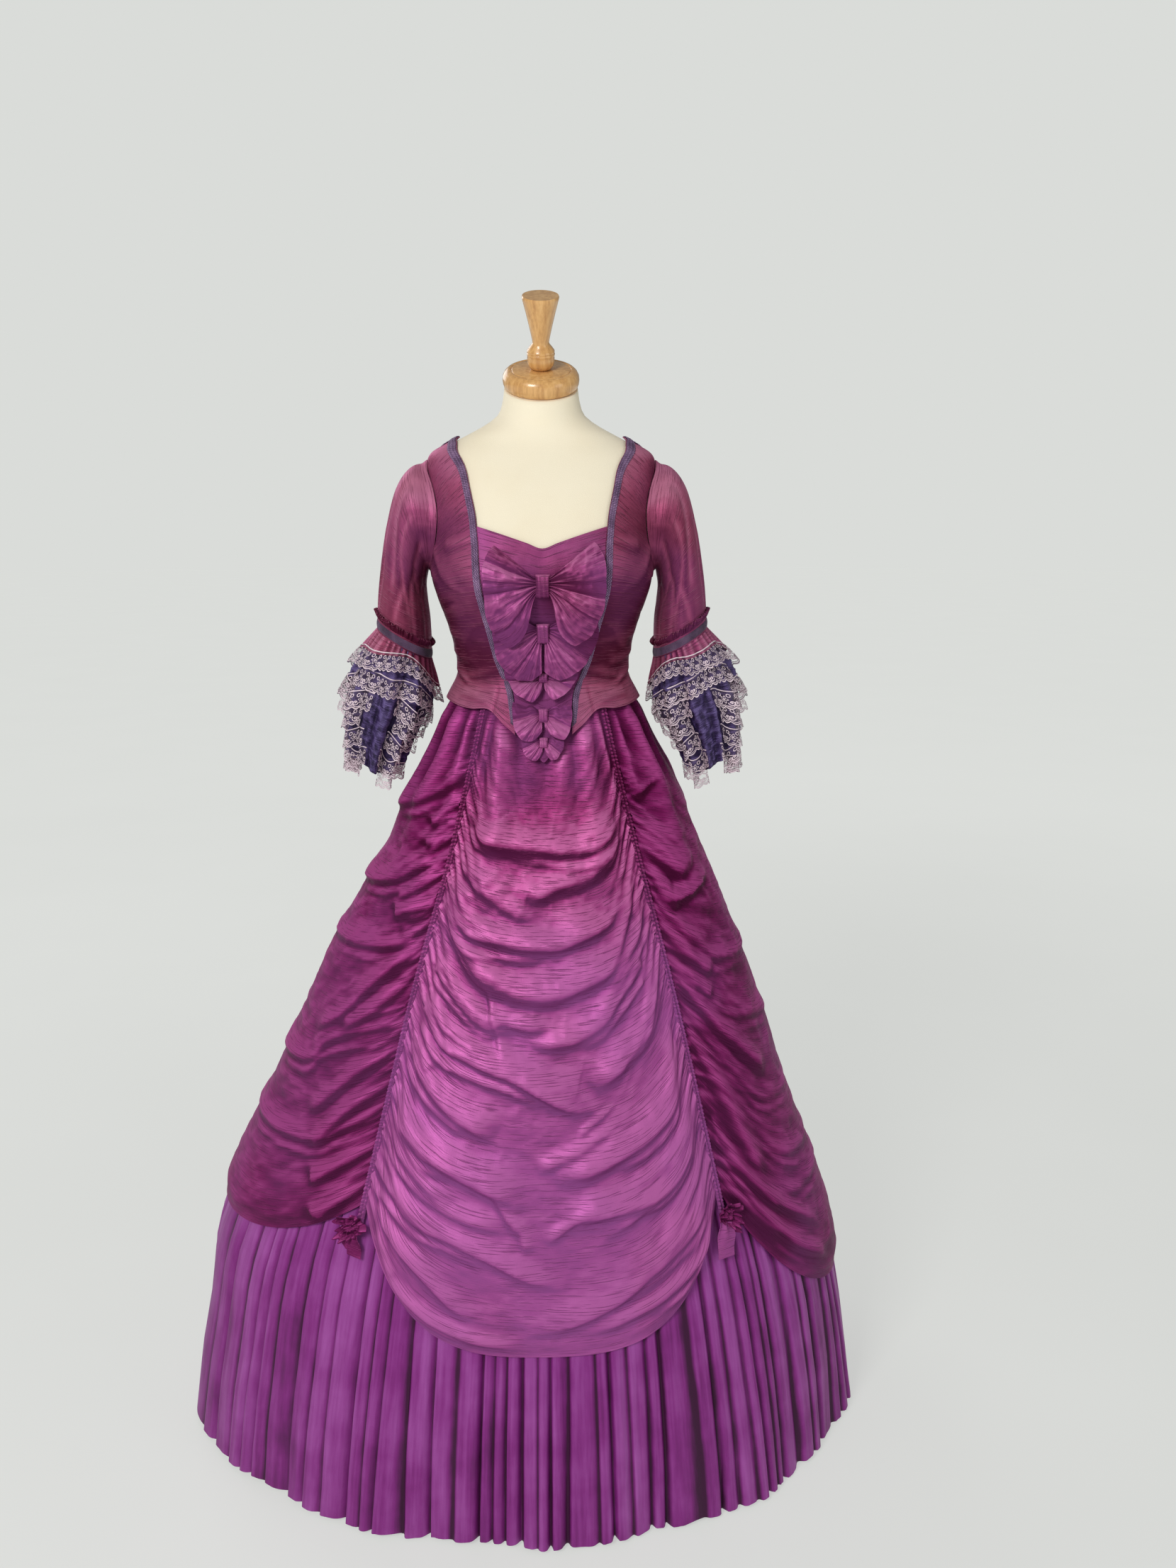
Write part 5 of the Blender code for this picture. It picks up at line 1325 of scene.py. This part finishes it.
def ruching_place(u, v, seam, spacing):
    height = mix(TAPE_END, OVERSKIRT_TOP, v)
    phase = v * (OVERSKIRT_TOP - TAPE_END) * TAPE_FULLNESS / spacing * math.tau
    lane = np.where(u < 0.5, 0.0, 2.2)
    wobble = 1.3 * np.sin(phase * 0.137 + lane) + 0.9 * np.sin(phase * 0.311 + 2 * lane)
    pucker = np.sin(phase + wobble + 1.2 * np.abs(2 * u - 1))
    across = (2 * u - 1) * TAPE_HALF * (1.0 + 0.05 * pucker)
    ridge = np.abs(np.sin(2 * math.pi * u)) ** 0.8
    out = LAY + 0.0022 + 0.0034 * ridge + 0.0006 * pucker * (0.35 + ridge)
    # Painted light on the puckers, painted shade in the dips at the strip's edges and middle; the
    # whole strip darker
    return beside_seam(seam, across, height, out), 0.14 * pucker - 0.45 * (1.0 - ridge) - 0.22


def rosette_place(u, v, side):
    spin = math.tau * u
    petals = 0.5 + 0.5 * np.cos(spin * 4.0 + 1.6 * np.sin(spin) + side)
    frill = np.cos(spin * 13.0 + 2.0 * np.sin(spin * 2.0) + side) * v
    reach = TIE_REACH * v * (0.80 - 0.30 * (1.0 - petals) * v + 0.06 * frill)
    height = TIE_HEIGHT + 0.006 + reach * np.cos(spin) * 0.80
    ring = 0.0030 * np.sin(v * 9.0 + 1.5 * np.sin(spin)) * ramp(v, 0.05, 0.3)
    out = TIE_OUT + 0.0060 * petals * v + ring + 0.0028 * frill
    placed = beside_seam(side * FRONT_SEAM, 0.004 * side + reach * np.sin(spin), height, out)
    # Painted light on the frill's and the rings' crests, painted shade between them; the whole rosette
    # darker
    return placed, 0.25 * frill + 0.2 * np.sin(v * 9.0) - 0.32


def tail_place(u, v, side, shift, width, length, twist):
    """A ribbon end that hangs from the rosette, its cut edge square."""
    fall = 1.0 - v
    across = (u - 0.5) * width * mix(0.55, 1.0, ramp(fall, 0.0, 0.45)) + shift * mix(0.4, 1.0, fall)
    height = TIE_HEIGHT - 0.002 - fall * length - 0.003 * twist * (u - 0.5)
    fold = 0.0016 * np.cos((2 * u - 1) * 5.5 + twist) * fade(fall, 0.1, 0.7)
    out = 0.0105 - 0.0030 * fall + fold + 0.0022 * np.sin(5.0 * fall + twist) * (u - 0.3)
    # Painted light on the folds' ridges and painted shade between them; paler towards the end
    return beside_seam(side * FRONT_SEAM, across, height, out), fold * 120.0 + 0.10 * fall


def petticoat_inset(height):
    t = (height - PETTICOAT_EASED) / (PETTICOAT_TOP - PETTICOAT_EASED)
    return mix(0.0055, 0.0002, np.clip(t, 0.0, 1.0))


def upper_place(u, v):
    height, angle = mix(FLOUNCE_TOP + 0.0002, PETTICOAT_TOP, v), 360.0 * u - 180.0
    radius = skirt_radius(angle, height) - petticoat_inset(height)
    return around(angle, radius, height), np.zeros_like(u)


def flounce_place(u, v, index, pleats):
    """Knife pleats, each fold steep on one side, deeper towards the hem."""
    panel = 360.0 / FLOUNCE_PANELS
    angle, fall = panel * (index - 0.5 + u), 1.0 - v
    warp = 0.42 * wave(angle * 7.0, 0.4) + 0.34 * wave(angle * 13.0, 2.0)
    warp = warp + 0.22 * wave(angle * 29.0)
    drift = 0.10 * wave(angle * 5.0, 1.0) * fall + 0.07 * wave(angle * 17.0) * fall**2
    phase = angle / panel * pleats + 0.8 * warp + drift
    number = np.floor(phase)
    f = phase - number
    valley = bell(f - 0.62, np.where(f < 0.62, 0.24, 0.08)) + bell(f + 0.38, 0.08)
    valley = valley + bell(f - 1.62, 0.24)
    depth = mix(0.0050, 0.0125, fall) * (0.66 + 0.34 * np.sin(number * 2.4 + 0.7))
    crease = 0.0012 * noise_at(phase * 2.2, fall * 6.0, 4.0) * ramp(fall, 0.0, 0.2)
    hem = 0.0055 * wave(angle * 9.0, 1.0) + 0.0035 * wave(angle * 23.0, 2.2)
    lift = 0.0025 + 0.0022 * wave(angle * 31.0, 0.5) * wave(angle * 8.0)
    height = mix(HEM + lift, FLOUNCE_TOP, v)
    inset = mix(petticoat_inset(FLOUNCE_TOP), -0.005, fall)
    radius = skirt_radius(angle, height) - inset - depth * valley + crease + hem * fall**2
    # Painted shade in each pleat's valley; paler towards the hem, and each pleat a little lighter or
    # darker than its neighbours
    dark = bell(f - 0.64, np.where(f < 0.64, 0.13, 0.05)) * mix(0.75, 1.0, fall)
    tone = 0.06 + 0.08 * fall - 0.80 * dark + 0.10 * np.sin(number * 5.1)
    return around(angle, radius, height), tone


# The stage


def soft_light(name, place, target, width, height, power, tint):
    data = bpy.data.lights.new(name, "AREA")
    data.shape = "RECTANGLE"
    data.size, data.size_y = width, height
    data.energy, data.color = power, tint
    made = bpy.data.objects.new(name, data)
    bpy.context.scene.collection.objects.link(made)
    made.location = place
    made.rotation_euler = (Vector(target) - made.location).to_track_quat("-Z", "Y").to_euler()


# The add-on


def colour(label, about, default):
    return FloatVectorProperty(name=label, description=about, default=default, subtype="COLOR",
                               size=3, min=0.0, max=1.0)


class GownSizes(bpy.types.PropertyGroup):
    swag_depth: FloatProperty(name="Swag depth", description="How full the overskirt's swags are",
                              default=1.3, min=0.2, max=1.5, subtype="FACTOR")
    pleats: IntProperty(name="Pleats", default=15, min=6, max=24,
                        description="Pleats in each panel of the petticoat's flounce")
    cuff_waves: IntProperty(name="Cuff waves", description="Waves round each cuff's flounces",
                            default=8, min=3, max=14)
    ruching_gathers: FloatProperty(name="Ruching gathers", default=0.0056, min=0.004, max=0.02,
                                   description="Distance between two gathers", unit="LENGTH")


class GownColours(bpy.types.PropertyGroup):
    # Each silk's shade and light are painted shade and painted light: its colour where it turns down
    # and where it turns up
    rose_shade: colour("Bodice shade", "Bodice silk where it turns down", (0.080, 0.008, 0.026))
    rose_body: colour("Bodice silk", "Bodice silk in even light", (0.325, 0.066, 0.132))
    rose_light: colour("Bodice light", "Bodice silk where it turns up", (0.560, 0.190, 0.305))
    magenta_shade: colour("Skirt shade", "Overskirt silk where it turns down",
                          (0.066, 0.003, 0.028))
    magenta_body: colour("Skirt silk", "Overskirt silk in even light", (0.345, 0.040, 0.176))
    magenta_light: colour("Skirt light", "Overskirt silk where it turns up", (0.620, 0.148, 0.385))
    wine_shade: colour("Side shade", "Side panels' silk where it turns down", (0.060, 0.003, 0.026))
    wine_body: colour("Side silk", "Side panels' silk in even light", (0.205, 0.012, 0.104))
    wine_light: colour("Side light", "Side panels' silk where it turns up", (0.420, 0.060, 0.250))
    cast: colour("Violet cast", "The colder colour that the silk turns to in patches",
                 (0.440, 0.120, 0.430))
    petticoat: colour("Petticoat", "Petticoat cotton", (0.250, 0.022, 0.228))
    violet: colour("Violet", "Cotton of the lower cuff flounces", (0.066, 0.038, 0.140))
    lace: colour("Lace", "Embroidery thread of the lace", (0.900, 0.730, 0.810))


class GownStage(bpy.types.PropertyGroup):
    floor_radius: FloatProperty(name="Floor radius", description="Half width of the floor",
                                default=30.0, min=2.0, unit="LENGTH")
    floor_colour: colour("Floor", "Colour of the floor", (0.30, 0.305, 0.297))
    near_glow: colour("Floor light", "Light that evens the floor out near the gown",
                      (0.51, 0.52, 0.505))
    far_glow: colour("Far floor light", "The same far away", (0.615, 0.627, 0.608))
    backdrop: colour("Backdrop", "Colour behind the gown", (0.701, 0.716, 0.694))
    surround: FloatProperty(name="Surround", description="Strength of the light all round",
                            default=0.36, min=0.0)
    key: FloatProperty(name="Key light", description="Main light's power", default=56.0, min=0.0,
                       unit="POWER")
    fill: FloatProperty(name="Fill light", description="Fill light's power", default=10.0, min=0.0,
                        unit="POWER")
    back: FloatProperty(name="Back light", description="Power of the light behind", default=18.0,
                        min=0.0, unit="POWER")


class GOWN_OT_form(bpy.types.Operator):
    """Cover the dress form and turn its cap, finial, pole and base"""
    bl_idname = "gown.form"
    bl_label = "Dress form"

    def execute(self, context):
        cover_form()
        tilt = Matrix.Rotation(NECK_TILT, 4, "X")
        up = tilt @ Vector((0.0, 0.0, 1.0))
        neck = Vector((0.0, NECK_BACK, NECK_TOP + NECK_BACK * math.tan(NECK_TILT)))
        top = neck + up * (PROFILES["neck_cap_wood"][-1][1] + 2 * GAP)
        turned("neck_cap_wood", "neck_cap", 96, Matrix.Translation(neck + up * GAP) @ tilt)
        turned("neck_finial_wood", "neck_finial", 96, Matrix.Translation(top) @ tilt)
        turned("stand_base_wood", "stand_base", 128, Matrix())
        turned("stand_pole_wood", "stand_pole", 48, Matrix())
        return {"FINISHED"}


class GOWN_OT_bodice(bpy.types.Operator):
    """Sew the stomacher and the bodice's fronts and backs"""
    bl_idname = "gown.bodice"
    bl_label = "Bodice"

    def execute(self, context):
        # The bows' painted shadow darkens the stomacher under them
        place = partial(bodice_place, plan=stomacher_plan(), folds=False, under_bows=0.45)
        cloth("stomacher_silk", 40, 60, place, "rose_silk", "stomacher", "stretched", "form_cover",
              finish="bow_silk")
        for side, word in SIDES:
            place = partial(bodice_place, plan=front_plan(), seed=side)
            cloth("bodice_front_%s_silk" % word, 64, 100, place, "rose_silk",
                  "bodice_front_" + word, "stretched", "form_cover", side)
            place = partial(bodice_place, plan=back_plan(), folds=False, seed=4 + side)
            cloth("bodice_back_%s_silk" % word, 40, 64, place, "rose_silk",
                  "bodice_back_" + word, "stretched", "form_cover", side, flip=True)
        return {"FINISHED"}


class GOWN_OT_braids(bpy.types.Operator):
    """Edge the neck and the stomacher with braid"""
    bl_idname = "gown.braids"
    bl_label = "Braids"

    def execute(self, context):
        for side, word in SIDES:
            place = partial(braid_place, plan=front_plan()[:, :2])
            cloth("braid_front_%s_gimp" % word, 8, 280, place, "slate_braid", "braid_front_" + word,
                  "stretched", "bodice_front_%s_silk" % word, side, thickness=0.0007)
            place = partial(back_braid_place, plan=back_plan()[-2:])
            cloth("braid_back_%s_gimp" % word, 72, 6, place, "slate_braid", "braid_back_" + word,
                  "stretched", "bodice_back_%s_silk" % word, side, flip=True, thickness=0.0007)
        return {"FINISHED"}


class GOWN_OT_bows(bpy.types.Operator):
    """Tie the row of bows down the stomacher"""
    bl_idname = "gown.bows"
    bl_label = "Bows"

    def execute(self, context):
        for index in range(len(BOWS)):
            number, size = index + 1, (112, 52) if index < 2 else (84, 38)
            cloth("bow_%d_knot_silk" % number, 16, 16, partial(knot_place, index=index),
                  "magenta_silk", "bow_knot_%d" % number, "folded", "bow_%d_silk" % number,
                  finish="bow_silk")
            cloth("bow_%d_silk" % number, *size, partial(bow_place, index=index), "magenta_silk",
                  "bow_%d" % number, "folded", "stomacher_silk", finish="bow_silk")
        return {"FINISHED"}


class GOWN_OT_sleeves(bpy.types.Operator):
    """Set in the elbow sleeves"""
    bl_idname = "gown.sleeves"
    bl_label = "Sleeves"

    def execute(self, context):
        for side, word in SIDES:
            cloth("sleeve_%s_silk" % word, 88, 64, partial(sleeve_place, side=side), "rose_silk",
                  "sleeve_" + word, "hung", "bodice_front_%s_silk" % word, side, wrap=True)
        return {"FINISHED"}


class GOWN_OT_cuffs(bpy.types.Operator):
    """Gather the cuffs' headings, braids, flounces and lace"""
    bl_idname = "gown.cuffs"
    bl_label = "Cuffs"

    def execute(self, context):
        waves = context.scene.gown_sizes.cuff_waves
        for side, word in SIDES:
            sleeve = "sleeve_%s_silk" % word
            frill = partial(cuff_band_place, low=-0.0150, high=-0.0250, outs=(0.0006, 0.0048),
                            swing=0.0030, count=46, tone_shift=-0.22)
            cloth("cuff_heading_%s_silk" % word, 276, 5, frill, "rose_silk", "cuff_heading_" + word,
                  "gathered", sleeve, side, wrap=True, thickness=0.0006)
            band = partial(cuff_band_place, low=-0.0016, high=-0.0130, outs=(0.0014, 0.0014),
                           swing=0.0, count=40, tone_shift=0.0)
            cloth("cuff_braid_%s_gimp" % word, 96, 5, band, "slate_braid", "cuff_braid_" + word,
                  "stretched", sleeve, side, wrap=True, thickness=0.0007, pattern=(0.013, 0.42))
            for tier, (*_, finish, _) in TIERS.items():
                whole, flounce = tier != "long", "flounce_%s_%s" % (tier, word)
                cloth(flounce + "_cloth", 184, 20 if whole else 36,
                      partial(tier_place, tier=tier, side=side, waves=waves), finish, flounce,
                      "gathered", sleeve, side, wrap=True, thickness=0.0006)
                turns = (-180.0, 180.0) if whole else (LACE_PARTS, 360.0 - LACE_PARTS)
                scallops = 2 * round((turns[1] - turns[0]) / 360.0 * TIER_SCALLOPS / 2)
                lace = "lace_%s_%s" % (tier, word)
                cloth(lace + "_net", 4 * scallops, 5,
                      partial(lace_place, tier=tier, side=side, waves=waves, turns=turns),
                      "mauve_lace", lace, "gathered", flounce + "_cloth", side, wrap=whole,
                      thickness=0.0004, pattern=(scallops * SCALLOP, LACE_DEPTH))
            for number, (drop, start, end) in enumerate(FALLS):
                scallops = round((end - start) / 360.0 * FALL_SCALLOPS)
                for name, turns in ((number + 1, (-end, -start)), (number + 5, (start, end))):
                    place = partial(lace_place, tier="long", side=side, waves=waves, turns=turns,
                                    drop_at=drop, lift=0.0020 + 0.0016 * (3 - number))
                    cloth("lace_fall_%s_%d" % (word, name), 5 * scallops, 5, place, "mauve_lace",
                          "lace_long_" + word, "gathered", "flounce_long_%s_cloth" % word, side,
                          thickness=0.0004, pattern=(scallops * SCALLOP, LACE_DEPTH))
        return {"FINISHED"}


class GOWN_OT_petticoat(bpy.types.Operator):
    """Hang the petticoat and its pleated flounce"""
    bl_idname = "gown.petticoat"
    bl_label = "Petticoat"

    def execute(self, context):
        pleats = context.scene.gown_sizes.pleats
        cloth("petticoat_upper_cotton", 96, 16, upper_place, "purple_cotton", "petticoat_top",
              "gathered", "form_cover", wrap=True)
        for index in range(FLOUNCE_PANELS):
            name = "petticoat_flounce_%d" % (index + 1)
            cloth(name + "_cotton", PLEAT_COLUMNS * pleats, 12,
                  partial(flounce_place, index=index, pleats=pleats), "purple_cotton", name,
                  "gathered", "petticoat_upper_cotton")
        return {"FINISHED"}


class GOWN_OT_overskirt(bpy.types.Operator):
    """Drape the overskirt's four swagged panels"""
    bl_idname = "gown.overskirt"
    bl_label = "Overskirt"

    def execute(self, context):
        for panel in PANELS:
            name, *_, finish, columns, rows = panel
            place = partial(panel_place, panel=panel, depth=context.scene.gown_sizes.swag_depth)
            cloth(name + "_silk", columns, rows, place, "magenta_silk", name, "gathered",
                  "petticoat_upper_cotton", finish=finish)
        return {"FINISHED"}


class GOWN_OT_ruching(bpy.types.Operator):
    """Cover the overskirt's seams with ruched strips"""
    bl_idname = "gown.ruching"
    bl_label = "Ruching"

    def execute(self, context):
        spacing = context.scene.gown_sizes.ruching_gathers
        for word, seam in SEAMS.items():
            place = partial(ruching_place, seam=seam, spacing=spacing)
            cloth("ruching_%s_silk" % word, 8, 470, place, "magenta_silk", "ruching_" + word,
                  "gathered", "overskirt_%s_silk" % word.split("_")[1], thickness=0.0006)
        return {"FINISHED"}


class GOWN_OT_ties(bpy.types.Operator):
    """Tie the front seams' feet with frilled rosettes"""
    bl_idname = "gown.ties"
    bl_label = "Ties"

    def execute(self, context):
        for side, word in SIDES:
            cloth("tie_%s_rosette" % word, 104, 16, partial(rosette_place, side=side),
                  "magenta_silk", "tie_" + word, "gathered", "ruching_%s_front_silk" % word,
                  finish="wine_silk", wrap=True, thickness=0.0006, pattern=(0.45, 0.03))
            for number, (shift, width, length, twist, finish) in enumerate(TAILS[word], start=1):
                place = partial(tail_place, side=side, shift=shift, width=width, length=length,
                                twist=twist)
                cloth("tie_%s_end_%d" % (word, number), 10, 22, place, "magenta_silk",
                      "tie_" + word, "hung", "overskirt_front_silk", finish=finish,
                      thickness=0.0006)
        return {"FINISHED"}


class GOWN_OT_stage(bpy.types.Operator):
    """Lay the floor, light the studio and set up the camera"""
    bl_idname = "gown.stage"
    bl_label = "Studio"

    def execute(self, context):
        scene, stage = context.scene, context.scene.gown_stage
        mesh = bmesh.new()
        bmesh.ops.create_circle(mesh, cap_ends=True, segments=96, radius=stage.floor_radius)
        paint = studio_floor("pale_floor", stage.floor_colour, stage.near_glow, stage.far_glow)
        add_object("studio_floor", mesh, paint)
        mesh = bmesh.new()
        bmesh.ops.create_icosphere(mesh, subdivisions=4, radius=stage.floor_radius * 1.02)
        bmesh.ops.reverse_faces(mesh, faces=mesh.faces[:])
        paint = backdrop_paper("backdrop_paper", stage.backdrop)
        backdrop = add_object("studio_backdrop", mesh, paint)
        for kind in ("diffuse", "glossy", "transmission", "volume_scatter", "shadow"):
            setattr(backdrop, "visible_" + kind, False)
        scene.world = bpy.data.worlds.new("studio")
        scene.world.use_nodes = True
        surround = scene.world.node_tree.nodes["Background"]
        surround.inputs["Color"].default_value = (*stage.backdrop, 1.0)
        surround.inputs["Strength"].default_value = stage.surround
        scene.view_settings.view_transform = "Standard"
        soft_light("key_light", (-1.3, -2.7, 2.6), (0.0, 0.0, 0.75), 1.0, 1.0, stage.key,
                   (1.0, 0.985, 0.97))
        soft_light("fill_light", (2.3, -1.9, 2.0), (0.0, 0.0, 0.9), 1.2, 1.6, stage.fill,
                   (0.98, 0.98, 1.0))
        soft_light("back_light", (-1.6, 2.2, 2.6), (0.0, 0.0, 0.9), 1.6, 1.6, stage.back,
                   (1.0, 1.0, 1.0))
        data = bpy.data.cameras.new("camera")
        data.sensor_width = 36.0
        data.lens = FOCAL / IMAGE_HEIGHT * data.sensor_width
        data.clip_end = 100.0
        scene.camera = bpy.data.objects.new("camera", data)
        scene.collection.objects.link(scene.camera)
        scene.camera.location = CAMERA
        scene.camera.rotation_euler = (math.radians(90.0 - CAMERA_DOWN), 0.0,
                                       math.radians(-CAMERA_ASIDE))
        return {"FINISHED"}


OPERATORS = (GOWN_OT_form, GOWN_OT_petticoat, GOWN_OT_overskirt, GOWN_OT_ruching, GOWN_OT_ties,
             GOWN_OT_bodice, GOWN_OT_braids, GOWN_OT_bows, GOWN_OT_sleeves, GOWN_OT_cuffs,
             GOWN_OT_stage)
GROUPS = {"gown_sizes": GownSizes, "gown_colours": GownColours, "gown_stage": GownStage}


class GOWN_PT_panel(bpy.types.Panel):
    bl_idname = "GOWN_PT_panel"
    bl_label = "Rococo gown"
    bl_space_type = "VIEW_3D"
    bl_region_type = "UI"
    bl_category = "Gown"

    def draw(self, context):
        column = self.layout.column()
        for name in GROUPS:
            group = getattr(context.scene, name)
            for key in group.bl_rna.properties.keys():
                if key not in ("rna_type", "name"):
                    column.prop(group, key)
        for operator in OPERATORS:
            column.operator(operator.bl_idname)


CLASSES = (*GROUPS.values(), *OPERATORS, GOWN_PT_panel)


def register():
    for item in CLASSES:
        bpy.utils.register_class(item)
    for name, group in GROUPS.items():
        setattr(bpy.types.Scene, name, PointerProperty(type=group))


def unregister():
    for name in GROUPS:
        delattr(bpy.types.Scene, name)
    for item in reversed(CLASSES):
        bpy.utils.unregister_class(item)


def main():
    register()
    bpy.ops.gown.form()
    bpy.ops.gown.petticoat()
    bpy.ops.gown.overskirt()
    bpy.ops.gown.ruching()
    bpy.ops.gown.ties()
    bpy.ops.gown.bodice()
    bpy.ops.gown.braids()
    bpy.ops.gown.bows()
    bpy.ops.gown.sleeves()
    bpy.ops.gown.cuffs()
    bpy.ops.gown.stage()


if __name__ == "__main__":
    main()
